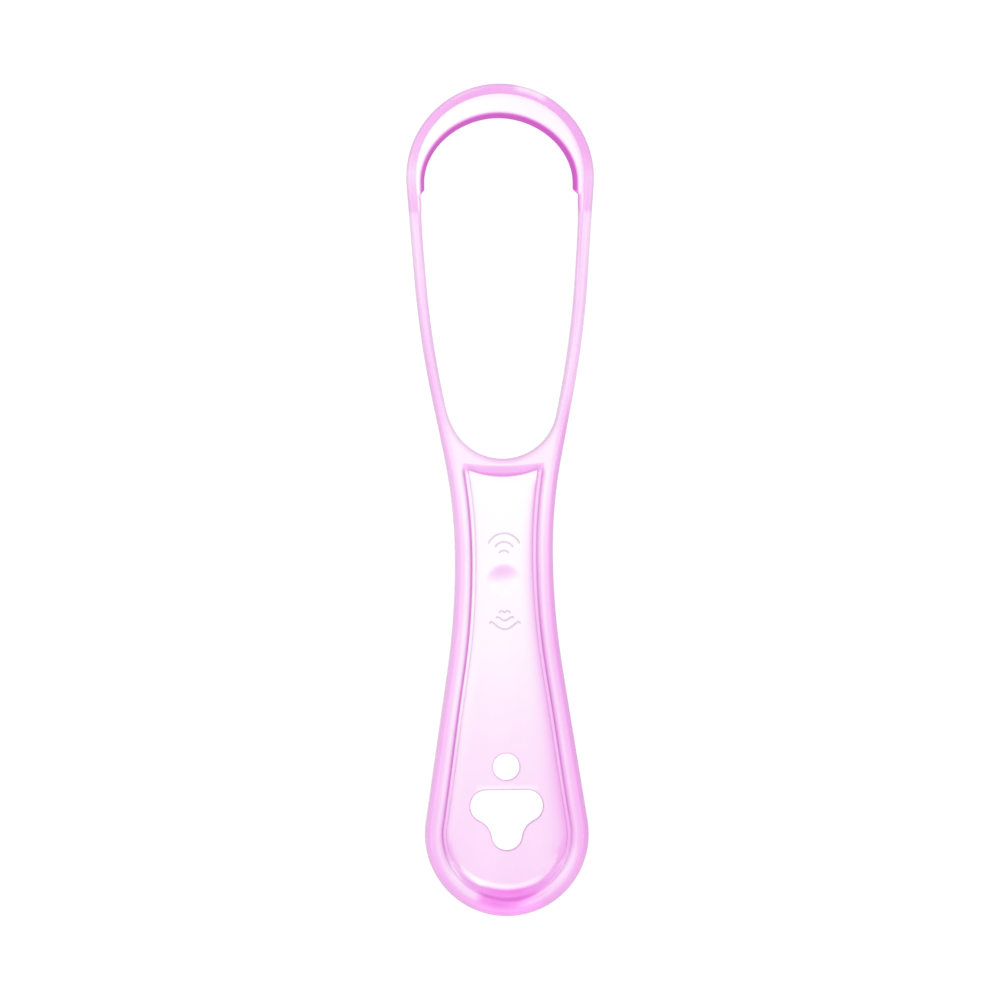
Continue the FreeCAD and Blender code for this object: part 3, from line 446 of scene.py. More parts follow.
def depths_with_painted_light(f):
    """How deeply tinted the clear plastic looks, front and back, with painted highlights and painted shade mixed in,
    and the painted shade of its lines.
    """
    x, y, dO, dL, v = f["x"], f["y"], f["dO"], f["dL"], f["v"]
    inRT, inRF = f["inRT"], f["inRF"]
    rt = smooth(-3, 3, x)
    lt = 1 - rt

    def both(left, right):
        return left * lt + right * rt

    turn = np.where(y < BUTT_Y, np.abs(f["phi"] + 90), 90.0)  # degrees from the lowest point

    # bead of the rim: outer flank deeper tinted, painted highlight on the crest, painted shade in the crease above the
    # recess; the right side is painted darker than the left, as the light falls
    top = both(run(y, -62, 0.46, -48, 0.33, -38, 0.22, -26, 0.25, -11, 0.24, 2, 0.18), run(y, -62, 0.56, -48, 0.45, -38, 0.38, -26, 0.4, -11, 0.35, 2, 0.17))
    flank = both(run(y, -62, 0.82, -26, 0.76, 5, 0.66), run(y, -62, 1.02, 5, 0.98))
    wide = both(run(y, -62, 1.15, -26, 1.0, -11, 1.0, 5, 0.85), run(y, -62, 1.35, -48, 1.25, -26, 1.2, -11, 1.0, 5, 1.0))
    d = dO / wide
    outer = both(run(d, 0, 0.78, 0.35, 0.94, 0.75, 1.0, 1.1, 0.82, 1.5, 0.42, 1.9, 0.1, 2.15, 0.0),
                 run(d, 0, 0.9, 0.45, 1.0, 0.75, 0.87, 0.93, 0.68, 1.1, 0.5, 1.3, 0.34, 1.5, 0.2, 1.86, 0.07, 2.05, 0.0))
    crease_shade = both(run(y, -63, 1.15, -56, 1.25, -48, 1.36, -8, 1.38, 3, 1.1), run(y, -63, 0.95, -56, 1.2, -48, 1.3, -26, 1.36, -19, 1.15, -11, 0.98, 2, 0.96))
    inner = both(run(f["dRT"], 0, 1.08, 0.11, 1.08, 0.2, 0.9, 0.31, 0.55, 0.44, 0.2, 0.6, 0.05, 0.8, 0.0),
                 run(f["dRT"], 0, 1.08, 0.11, 0.8, 0.2, 0.58, 0.31, 0.4, 0.44, 0.25, 0.6, 0.12, 0.8, 0.03, 1.0, 0.0))
    bead = top + (flank - top) * outer + (crease_shade - top) * inner
    # yoke and arms; the light strip down each arm is a painted highlight, and a painted shade line runs along the top
    # edge of the yoke wall
    y_out = both(run(dO, 0, 0.5, 0.5, 0.48, 0.9, 0.36, 1.4, 0.12, 2.0, 0.0), run(dO, 0, 0.72, 0.5, 0.7, 0.9, 0.5, 1.4, 0.18, 2.0, 0.0))
    mid_w = bell(x, 0, 6.5)
    y_in = run(dL, 0, 0.42, 0.6, 0.37, 0.85, 0.2, 1.05, 0.03, 1.5, 0.03) * (0.45 + 0.55 * mid_w)
    r_edge = run(f["dRT"], 0, 0.2, 0.11, 0.05, 0.25, 0.0)
    yoke = 0.19 + y_out + y_in + r_edge
    base = both(run(y, 14, 0.6, 26, 0.64, 37, 0.56, 46, 0.5), run(y, 14, 0.54, 26, 0.5, 37, 0.54, 46, 0.5))
    arm_highlight = bell(dO, run(y, 14, 1.55, 26, 1.3, 37, 1.0, 46, 0.9), 0.34)
    arm = base - 0.15 * arm_highlight + both(0.1, 0.04) * run(dO, 0, 1.0, 0.7, 0.8, 1.1, 0.0) * smooth(34, 20, y) - 0.1 * run(dL, 0, 0.0, 0.2, 1.0, 0.6, 0.0) * smooth(26, 16, y)
    L = bead + (yoke - bead) * smooth(4.6, 6.6, y)
    L = L + (arm - L) * smooth(12, 21, y)

    # band of the head, with painted highlights: a wedge at the upper right, a patch at the upper left and a patch on
    # the left side
    th = np.degrees(np.arctan2(y - HEAD_Y, x))
    th = np.where(th < -90, th + 360, th)
    band = run(th, -14, 0.69, 0, 0.62, 14, 0.87, 30, 0.93, 46, 0.94, 58, 0.82, 90, 0.9, 120, 0.87, 135, 0.83, 150, 0.76, 165, 0.65, 176, 0.4, 184, 0.5, 196, 0.7)
    band = band - 0.54 * smooth(57, 63, th) * smooth(83, 76, th) * smooth(1.5, 0.8, dO) - 0.25 * bell(th, 112, 13) * smooth(1.1, 0.3, dO)
    edge = BAND + 0.15 * bell(th, 95, 34)
    on_band = 1 - smooth(edge - 0.05, edge + 0.09, dO)
    low_strip = 0.16 + 0.16 * rt + both(0.46, 0.85) * run(dL, 0, 1.0, 0.3, 0.9, 0.52, 0.15, 0.7, 0.0)
    head = band * on_band + low_strip * (1 - on_band)
    tail = run(dO, 0, 0.42, 1.45, 0.38, 1.75, 0.62, 2.4, 0.6)
    L = L + (tail - L) * smooth(41, 50, y)
    L = L + (head - L) * smooth(53.1, 53.9, y)

    # crescent and lip
    side = smooth(112, 58, th)
    web = 0.02 + 0.07 * side + 0.12 * np.exp(-np.maximum(dO - BAND, 0) / 0.7) * bell(th, 92, 26)
    web = web + side * (0.14 + 0.26 * smooth(45, 8, th)) * bell(dO, 1.8, 0.36) + 0.14 * side * smooth(58, 40, th) * bell(dO, 2.2, 0.08)
    lip = run(f["lip"], 0, 2.3, 0.2, 2.35, 0.5, 2.35, LIP_W - 0.12, 2.1, LIP_W, 1.4, LIP_W + 0.12, 0.72, LIP_W + 0.28, 0.26, LIP_W + 0.5, 0.0)
    crescent = on_band * head + (1 - on_band) * np.maximum(web, lip)
    L = L + (crescent - L) * smooth(56.4, 57.3, y)

    # recess: ledge along the sides, wall at the yoke and at the butt; painted shade in the crease at the top of the
    # wall and down the yoke wall, a painted light strip along the ledge, the left ledge painted lighter than the right
    shelf = both(run(y, -62, 0.66, -56, 0.52, -48, 0.4, -38, 0.22, -26, 0.13, 5, 0.14), run(y, -62, 0.76, -48, 0.58, -26, 0.6, -11, 0.48, 5, 0.44))
    foot = both(run(y, -62, 0.66, -56, 0.56, -48, 0.54, -38, 0.4, 0, 0.38), run(y, -62, 0.95, -48, 0.82, -26, 0.68, -19, 0.7, -11, 0.82, 2, 0.9))
    ledge = shelf + (crease_shade - shelf) * run(v, 0, 1.08, 0.06, 1.0, 0.12, 0.7, 0.19, 0.25, 0.27, 0.0) - 0.06 * bell(v, 0.42, 0.15)
    ledge = ledge + (foot - shelf) * both(run(v, 0.78, 0.0, 0.9, 0.6, 1.0, 1.0), run(v, 0.62, 0.0, 0.8, 0.6, 0.92, 1.0, 1.0, 1.0))
    head_wall = run(v, 0, 0.5, 0.12, 0.66, 0.4, 0.78, 0.6, 0.88, 0.78, 1.1, 0.93, 1.12, 1.0, 0.75)
    a_ = f["reach"]
    w = v / np.maximum(a_, 1e-6)
    end_w = 1 - smooth(42, 64, turn)
    wall = ledge
    wy = smooth(4.6, 6.2, y)
    wall = wall * (1 - wy) + head_wall * wy
    top_zone = inRT & ~inRF & (y > 3) & (np.abs(x) < 6.2)
    wall = np.where(top_zone, head_wall, wall)
    L = np.where(inRT & ~inRF, wall, L)

    # panel
    panel = run(y, -72, 0.41, -67, 0.39, -52, 0.32, -45, 0.27, -37, 0.21, -26, 0.12, -11, 0.06, 5, 0.02)
    reach = both(run(y, -62, 0.4, -48, 0.28, -30, 0.2, 5, 0.18), run(y, -62, 1.15, -48, 1.0, -26, 0.75, -11, 0.55, 2, 0.3))
    # painted highlight: a paler strip on the left of the panel along the foot of the recess
    panel = panel - 0.09 * lt * run(f["dRF"], 0.3, 1.0, 2.2, 0.0) * smooth(-20, -34, y) * smooth(-66, -58, y)
    # painted reflection: the panel takes on the pink of the recess wall near its foot, further out on the right
    near = np.exp(-f["dRF"] / reach) * smooth(4.4, 2.4, y) * smooth(50, 75, turn)
    panel = panel + (foot - panel) * near
    # painted shade in the dimple: its upper wall, facing away from the light, deeper pink
    rho = np.maximum(np.hypot(x, y - DIMPLE_Y), 1e-6)
    steep = DIMPLE_D * 3 * rho / 3.3 ** 2 * np.sqrt(np.clip(1 - (rho / 3.3) ** 2, 0, 1))
    panel = panel + 2.4 * np.maximum(steep * ((y - DIMPLE_Y) * 0.96 - x * 0.2) / rho, 0)
    # painted highlight: a pale line just above the slot
    halo = bell(f["dE"], 0.42, 0.2) * smooth(LOBE_Y + LOBE_R - 0.1, LOBE_Y + LOBE_R + 0.1, y)
    panel = panel * (1 - 0.85 * halo)
    # painted shade: a darker line round the rims of the hole and the slot
    rim_d = np.minimum(f["dH"], f["dE"])
    panel = panel + run(rim_d, 0, 0.45, 0.09, 0.34, 0.17, 0.12, 0.3, 0.0)
    L = np.where(inRF, panel, L)

    # butt end, outwards in: flank, painted highlight streaks on the bead, painted shade in the crease and down the
    # wall, a painted highlight on the pale crescent of the fillet, panel
    a_flank = both(run(turn, 5, 1.06, 20, 0.96, 40, 0.82, 90, 0.8), run(turn, 5, 0.93, 30, 0.93, 55, 0.82, 90, 0.94))
    a_bead_highlight = both(run(turn, 8, 1.5, 21, 1.28, 29, 0.45, 50, 0.37, 70, 0.49, 90, 0.48), run(turn, 4, 1.1, 10, 0.82, 18, 0.5, 40, 0.45, 55, 0.36, 90, 0.5))
    a_crease_shade = both(run(turn, 10, 1.92, 20, 1.9, 29, 1.0, 40, 0.8, 50, 0.42, 60, 0.44, 70, 0.7, 80, 1.1), run(turn, 10, 1.92, 20, 1.62, 30, 1.0, 40, 0.76, 60, 0.55, 70, 0.55, 82, 0.7))
    a_wall = both(run(turn, 10, 1.3, 20, 1.2, 30, 1.04, 40, 0.9, 50, 0.74, 60, 0.62, 70, 0.66, 85, 0.85), run(turn, 10, 1.3, 20, 1.18, 30, 1.04, 40, 0.92, 60, 0.8, 85, 0.82))
    a_fillet_highlight = both(run(turn, 0, 0.14, 20, 0.09, 30, 0.0, 40, 0.07, 50, 0.2, 60, 0.42), run(turn, 0, 0.14, 30, 0.2, 42, 0.42))
    a_foot = both(run(turn, 10, 5.03, 20, 4.92, 30, 4.5, 50, 4.45, 60, 4.8), run(turn, 10, 5.03, 20, 4.92, 32, 4.68, 60, 4.85, 70, 5.2))
    a_end = both(run(turn, 0, 5.95, 20, 5.85, 30, 5.6, 50, 5.2), run(turn, 0, 5.9, 40, 5.6))
    butt = a_flank + (a_bead_highlight - a_flank) * smooth(1.2, 2.05, dO)
    # on the right, darker and lighter lines that shape a painted highlight streak
    butt = butt + 0.32 * bell(dO, 2.45, 0.16) * bell(turn, 26, 8) * rt
    butt = butt + (0.22 * bell(dO, 2.3, 0.2) * bell(turn, 16, 8) - 0.2 * bell(dO, 1.86, 0.2) * bell(turn, 14, 8)) * rt
    butt = butt + (a_crease_shade - butt) * smooth(both(2.8, run(turn, 10, 2.3, 20, 2.5, 30, 2.85, 60, 2.75)), 3.2, dO)
    butt = butt + (a_wall - butt) * smooth(3.35, 3.72, dO) + 0.14 * bell(dO, 4.4, 0.2) * (1 - smooth(14, 28, turn))
    # on the left, two painted highlight lines
    butt = butt - lt * bell(turn, 55, 9) * (0.14 * bell(dO, 2.85, 0.12) + 0.3 * bell(dO, 3.52, 0.14))
    butt = butt + (a_fillet_highlight - butt) * smooth(a_foot - 0.3, a_foot + 0.2, dO)
    butt = butt + (panel - butt) * smooth(a_end - 0.28, a_end + 0.32, dO)
    L = L + (butt - L) * np.where(y < BUTT_Y, smooth(88, 70, turn), 0.0)
    # painted light: the lowest part of the butt deeper pink and less grey, as if lit through
    glow = np.where(y < BUTT_Y, 0.16 * (1 - smooth(16, 32, turn)) * smooth(5.3, 4.8, dO) * (1 - 0.45 * bell(dO, 3.25, 0.3)), 0.0)
    L = L + glow
    # painted shade: grey lines round the rims of the hole and the slot, fainter at the hole
    grey_and_painted_shade = np.where(inRF, run(rim_d, 0, 0.3, 0.1, 0.16, 0.2, 0.0) * np.where(f["dH"] < f["dE"], 0.55, 1.0), 0.0)
    # painted shade: thin grey lines along the outer edges and the edges of the opening
    edge_shade = run(dO, 0, 1.0, 0.16, 0.9, 0.28, 0.3, 0.4, 0.0) * both(1.0, run(y, 5, 1.0, 15, 0.45, 45, 0.45, 55, 1.0))
    thin = np.where(y < 18, dL / (1 + 0.8 * smooth(17, 13, y)), dL)
    inner_edge_shade = run(thin, 0, 1.0, 0.14, 0.9, 0.24, 0.3, 0.34, 0.0) * both(0.8, 1.0) * (y < 56.6)
    edge_shade = np.maximum(edge_shade, inner_edge_shade) * ~inRT
    L = L * (1 - 0.2 * edge_shade)
    grey_and_painted_shade = grey_and_painted_shade + 0.17 * edge_shade - glow
    # painted light: less grey at the inner edge of the band and on the sloped recess walls, lifting their shade
    grey_and_painted_shade = grey_and_painted_shade - 0.1 * bell(dO, BAND, 0.2) * smooth(50, 54, y)
    grey_and_painted_shade = grey_and_painted_shade - np.where(inRT & ~inRF, (0.12 * end_w + 0.26 * wy) * np.sin(np.pi * np.clip(w, 0, 1)), 0.0)

    back = np.where(inRF, 0.6 * panel + 0.1, np.where(inRT, 0.55, 0.34 + 0.45 * np.exp(-np.minimum(dO, dL) / 0.5)))
    back_head = np.where((f["lip"] < LIP_W + 0.3) & (y > 56.4), 1.6, np.where(dO < BAND, 0.82, 0.1))
    back = back + (back_head - back) * smooth(51.0, 57.0, y)
    L = np.maximum(L, 0.0)
    dim = 0.045 * (1 - np.exp(-L / 0.15))
    return np.maximum(L - dim, 0.0), grey_and_painted_shade + dim, back + 0.1


# ------------------------------------------------------------------ points and constraint chains
VERTS, EDGES, KNOWN_O, KNOWN_L = [], [], [], []


def chain(pts, keep=None, closed=True, dO=None, dL=None, edges=True):
    """Adds a chain of points, and the edges between neighbours that are both kept."""
    n = len(pts)
    keep = np.ones(n, bool) if keep is None else keep
    ids = np.full(n, -1)
    for i in np.nonzero(keep)[0]:
        ids[i] = len(VERTS)
        VERTS.append(pts[i])
        KNOWN_O.append(np.nan if dO is None else dO[i])
        KNOWN_L.append(np.nan if dL is None else dL[i])
    if edges:
        for i in range(n if closed else n - 1):
            a, b = ids[i], ids[(i + 1) % n]
            if a >= 0 and b >= 0:
                EDGES.append((a, b))
    return ids


ROUND = [1 - math.cos(math.radians(a)) for a in (0, 14, 28, 42, 56, 72, 90)]
out_ids, in_ids, bead_ids, wall_ids, band_ids = [], [], [], [], []
ry = r_out(OUT_P[:, 1])
for k in ROUND:
    out_ids.append(chain(OUT_P - (SEAM + k * ry)[:, None] * OUT_N, dO=k * ry))
ry = r_in(L_P[:, 1])
for i, k in enumerate(ROUND):
    p = L_P - (SEAM + k * ry)[:, None] * L_N
    keep = np.ones(len(p), bool)
    if i in (2, 4, 5):  # a small radius needs fewer loops
        keep = ry > 0.2
    in_ids.append(chain(p, keep, dL=k * ry))
for k in ROUND:
    chain(H_P - (k * 0.16) * H_N)
    chain(E_P - (k * 0.16) * E_N)
for d in (0.32, 0.6):
    chain(H_P - d * H_N)
    chain(E_P - d * E_N)

# bead inside the crest, round the recess
for dR in (1.06, 0.8, 0.6, 0.44, 0.31, 0.2, 0.11, 0.04):
    p = RT_P + dR * RT_N
    bead_ids.append(chain(p, (poly_dist(p, L_P) > 0.85) & (poly_dist(p, OUT_P) > 1.6)))
p = OUT_P - 1.72 * OUT_N
chain(p, (OUT_P[:, 1] < 4) & (poly_dist(p, RT_P) > 1.2))
# recess wall
for u in (0.0, 0.06, 0.12, 0.19, 0.27, 0.37, 0.48, 0.59, 0.69, 0.78, 0.86, 0.93, 1.0):
    wall_ids.append(chain(RT_P * (1 - u) + RF_P * u))
RF_N = -left_normals(RF_P)
if not inside((RF_P[200] + 0.05 * RF_N[200])[None], RF_P)[0]:
    RF_N = -RF_N
for d in (0.12, 0.28, 0.5, 0.85):
    p = RF_P + d * RF_N
    chain(p, poly_dist(p, RF_P) > d - 0.03)
# dimple
for r in np.linspace(0.45, 3.6, 9):
    c, _ = arc((0, DIMPLE_Y), r, 0, 2 * math.pi, max(0.28, r * 0.13), 1)
    chain(c[:-1])
# band edge in the head and down the upper arms
hd = OUT_P[:, 1] > 42.5
for d in (1.0, 1.3, 1.42, 1.54, 1.63, BAND, 1.76, 1.83, 1.96, 2.1):
    p = OUT_P - d * OUT_N
    keep = hd & (poly_dist(p, L_P) > 0.36) if d > 1.1 else (OUT_P[:, 1] > 56)
    band_ids.append((d, chain(p, keep)))
# crescent and lip
for d in (0.16, 0.34, 0.5, LIP_W - 0.1, LIP_W + 0.02, LIP_W + 0.15, LIP_W + 0.32, LIP_W + 0.6):
    down = np.c_[np.full(7, LIP_A + d), np.linspace(57.0, LIP_Y - 0.35, 7)]
    half = np.concatenate([down, lip_curve(d)])
    p = lip_shift(np.concatenate([half, (half[::-1] * np.array([-1.0, 1.0]))[1:]]))
    chain(p, (poly_dist(p, OUT_P) > 2.02) & (poly_dist(p, L_P) > 0.14) & inside(p, OUT_P) & ~inside(p, L_P), closed=False)

# lines where one zone of the moulding ends and the next begins
N_OUT, N_L, N_R = len(OUT_P), len(L_P), len(RT_P)


def cut(ids):
    ids = [i for i in ids if i >= 0]
    for a, b in zip(ids[:-1], ids[1:]):
        EDGES.append((a, b))


half_o, half_l = len(O_half[0]), len(L_half)
for y_cut, bands in ((53.45, True), (float(arm_line[1, 1]), False)):
    j = len(foot_arc) + int(np.argmin(np.abs(arm_line[:, 1] - y_cut)))
    i = int(np.argmin(((OUT_P[:half_o] - ARM_W * OUT_N[:half_o] - L_half[j]) ** 2).sum(1)))
    for io, il in ((i, j), ((N_OUT - i) % N_OUT, (N_L - j) % N_L)):
        row = [ids[io] for ids in out_ids]
        if bands:
            row += [ids[io] for d, ids in band_ids if d > 1.2]
        cut(row + [ids[il] for ids in in_ids[::-1]])
i = int(np.argmin(np.abs(OUT_P[:half_o, 1] - 5.3)))
m = int(np.argmin(((RT_P[:NA] - (OUT_P[i] - 3.05 * OUT_N[i])) ** 2).sum(1)))
for io, im in ((i, m), ((N_OUT - i) % N_OUT, (N_R - m) % N_R)):
    cut([ids[io] for ids in out_ids] + [ids[im] for ids in bead_ids] + [wall_ids[0][im]])
RIM_Y = float(OUT_P[i, 1])
for im in (NA - 1, (N_R - NA + 1) % N_R):
    cut([ids[im] for ids in wall_ids])

# fill
base = np.array(VERTS)


def hexes(x0, x1, y0, y1, s):
    ys = np.arange(y0, y1, s * 0.866)
    rows = [np.c_[np.arange(x0 + (i % 2) * s / 2, x1, s), np.full(len(np.arange(x0 + (i % 2) * s / 2, x1, s)), y)] for i, y in enumerate(ys)]
    return np.concatenate(rows)


def clear_of(p, others, r):
    """The points that are further than r from all the others."""
    cell = {}
    for i, (a, b) in enumerate(np.floor(others / r).astype(int)):
        cell.setdefault((a, b), []).append(i)
    ok = np.ones(len(p), bool)
    for i, (a, b) in enumerate(np.floor(p / r).astype(int)):
        near = [j for da in (-1, 0, 1) for db in (-1, 0, 1) for j in cell.get((a + da, b + db), ())]
        if near and ((others[near] - p[i]) ** 2).sum(1).min() < r * r:
            ok[i] = False
    return ok


fill = [hexes(-16, 16, -76, 7, 0.72), hexes(-13, 13, 4, 20, 0.5), hexes(-17, 17, 54, 77, 0.42)]
gap = [0.42, 0.3, 0.26]
for f, g in zip(fill, gap):
    f = f[inside(f, OUT_P) & ~inside(f, L_P) & ~inside(f, H_P) & ~inside(f, E_P)]
    f = f[clear_of(f, base, g)]
    chain(f, edges=False)
    base = np.array(VERTS)

ov, oe, of_, orig_v, _, _ = delaunay_2d_cdt([Vector(v) for v in VERTS], EDGES, [], 0, 1e-7)
XY = np.array([(v.x, v.y) for v in ov])
kO = np.array([min([KNOWN_O[i] for i in o if KNOWN_O[i] == KNOWN_O[i]], default=np.nan) for o in orig_v])
kL = np.array([min([KNOWN_L[i] for i in o if KNOWN_L[i] == KNOWN_L[i]], default=np.nan) for o in orig_v])
TRI = np.array([f for f in of_ if len(f) == 3])
OUT_S = OUT_P - SEAM * OUT_N
L_S = L_P - SEAM * L_N
mid = XY[TRI].mean(1)
TRI = TRI[inside(mid, OUT_S) & ~inside(mid, L_S) & ~inside(mid, H_P) & ~inside(mid, E_P)]
a, b, c = XY[TRI[:, 0]], XY[TRI[:, 1]], XY[TRI[:, 2]]
area = (b[:, 0] - a[:, 0]) * (c[:, 1] - a[:, 1]) - (b[:, 1] - a[:, 1]) * (c[:, 0] - a[:, 0])
TRI[area < 0] = TRI[area < 0][:, ::-1]
used = np.unique(TRI)
remap = np.full(len(XY), -1)
remap[used] = np.arange(len(used))
XY, TRI, kO, kL = XY[used], remap[TRI], kO[used], kL[used]

dO = np.where(np.isnan(kO), np.maximum(poly_dist(XY, OUT_P) - SEAM, 0), kO)
dL = np.where(np.isnan(kL), np.maximum(poly_dist(XY, L_P) - SEAM, 0), kL)
FLD = fields(XY, dO, dL)
ZF, ZB = heights(FLD)
ZF = np.maximum(ZF, ZB + 0.15)
LF, GF, LB = depths_with_painted_light(FLD)

# ------------------------------------------------------------------ zones of the moulding
mid = XY[TRI].mean(1)
mf = fields(mid, np.maximum(poly_dist(mid, OUT_P), 0), np.maximum(poly_dist(mid, L_P), 0))
corner_t, corner_f = RT_P[NA - 1], RF_P[NA - 1]
ax, ay = np.abs(mid[:, 0]), mid[:, 1]
cr = (corner_f[0] - corner_t[0]) * (ay - corner_t[1]) - (corner_f[1] - corner_t[1]) * (ax - corner_t[0])
yoke_wall = mf["inRT"] & ~mf["inRF"] & (ay > 3) & (cr < 0)
arm_y = float(arm_line[1, 1])
ZONES = ["head_hoop", "blade_web", "scraping_edge", "left_arm", "right_arm", "neck_yoke", "handle_rim", "handle_panel"]


def above(j, p):
    """Which points lie above the line across the arm at point j of the opening's edge."""
    i = int(np.argmin(((OUT_P[:half_o] - ARM_W * OUT_N[:half_o] - L_half[j]) ** 2).sum(1)))
    n = OUT_N[i]
    t = np.array([-n[1], n[0]])
    return (np.abs(p[:, 0]) - L_half[j, 0]) * t[0] + (p[:, 1] - L_half[j, 1]) * t[1] > 0


j_top = len(foot_arc) + int(np.argmin(np.abs(arm_line[:, 1] - 53.45)))
j_low = len(foot_arc) + 1
is_head, is_arm = above(j_top, mid) & (ay > 40), above(j_low, mid) & (ay > 10)
zone = np.full(len(TRI), 6)
zone[(ay > RIM_Y - 0.4) & ~is_arm & ~mf["inRT"]] = 5
n_i = OUT_N[i]
t_i = np.array([-n_i[1], n_i[0]])
below = (ax - OUT_P[i, 0]) * t_i[0] + (ay - OUT_P[i, 1]) * t_i[1] < 0
zone[(zone == 5) & below & (ay < 8)] = 6
zone[mf["inRT"] & ~yoke_wall] = 7
zone[yoke_wall] = 5
zone[is_arm & (mid[:, 0] < 0)] = 3
zone[is_arm & (mid[:, 0] > 0)] = 4
zone[is_head] = 0
zone[is_head & (mf["dO"] > BAND)] = 1
zone[is_head & (mf["lip"] < LIP_W + 0.02) & (ay > 56.5) & (mf["dO"] > 2)] = 2

# ------------------------------------------------------------------ closed body from front, back and edge walls
n_tri = len(TRI)
e = np.concatenate([TRI[:, [0, 1]], TRI[:, [1, 2]], TRI[:, [2, 0]]])
owner = np.tile(np.arange(n_tri), 3)
key = np.sort(e, axis=1)
_, inv, cnt = np.unique(key, axis=0, return_inverse=True, return_counts=True)
inv = inv.ravel()
is_rim = cnt[inv] == 1
rim, rim_owner = e[is_rim], owner[is_rim]
n = len(XY)
on_edge = np.unique(rim)
d_out, d_open = poly_dist(XY[on_edge], OUT_S), poly_dist(XY[on_edge], L_S)
push = np.zeros((len(on_edge), 2))
for loop, nrm, d in ((OUT_S, OUT_N, d_out), (L_S, L_N, d_open)):
    m_ = d < 1e-3
    near = np.argmin(((XY[on_edge][m_][:, None] - loop[None]) ** 2).sum(2), axis=1)
    push[m_] = nrm[near] * (SEAM - INSET)
tall = ZF[on_edge] - ZB[on_edge]
push *= smooth(0.5, 1.2, tall)[:, None]
zp = ZB[on_edge] + 0.5 * tall
gap_z = np.minimum(0.09, 0.2 * tall)
rows = [
    np.c_[XY[on_edge], zp + gap_z],
    np.c_[XY[on_edge] + push, zp],
    np.c_[XY[on_edge], zp - gap_z],
]
CO = np.concatenate([np.c_[XY, ZF], np.c_[XY, ZB]] + rows) * MM
at = np.full(n, -1)
at[on_edge] = np.arange(len(on_edge))
n_on = len(on_edge)


def column(v):
    """The vertices down the edge wall below front vertex v."""
    mids = [2 * n + k * n_on + at[v] for k in range(3)] if at[v] >= 0 else []
    return [v] + mids + [n + v]


def edge_quads(pairs):
    out = []
    for a, b in pairs:
        ca, cb = column(a), column(b)
        out += [(cb[k], ca[k], ca[k + 1], cb[k + 1]) for k in range(4)]
    return out


whole = bpy.data.meshes.new("whole")
whole.from_pydata(CO.tolist(), [], TRI.tolist() + (TRI[:, ::-1] + n).tolist() + edge_quads(rim.tolist()))
whole.update()
whole.shade_smooth()
VN = np.empty(len(CO) * 3)
whole.vertex_normals.foreach_get("vector", VN)
VN = VN.reshape(-1, 3)
bpy.data.meshes.remove(whole)


def plastic(depth, grey_and_painted_shade):
    """Colour of white light that has passed through the tinted plastic, darkened by the painted shade (lightened where
    that is negative).
    """
    d = np.asarray(depth, float)[:, None]
    k = np.concatenate([0.045 * d + 0.075 * d * d, d, 0.09 * d + 0.078 * d * d], axis=1)
    return np.minimum(np.exp(-k) * (1 - np.asarray(grey_and_painted_shade, float)[:, None]), 1.0)


# the edge walls a little deeper and greyer: painted shade
LE, GE = LF[on_edge] + 0.06, GF[on_edge] + 0.06
TINT_WITH_PAINTED_LIGHT = plastic(np.concatenate([LF, LB, LE, LE, LE]), np.concatenate([GF, 0 * LB, GE, GE, GE]))

# ------------------------------------------------------------------ materials


def node(nt, kind, at=(0, 0), **values):
    nd = nt.nodes.new(kind)
    nd.location = at
    for k, v in values.items():
        setattr(nd, k, v)
    return nd


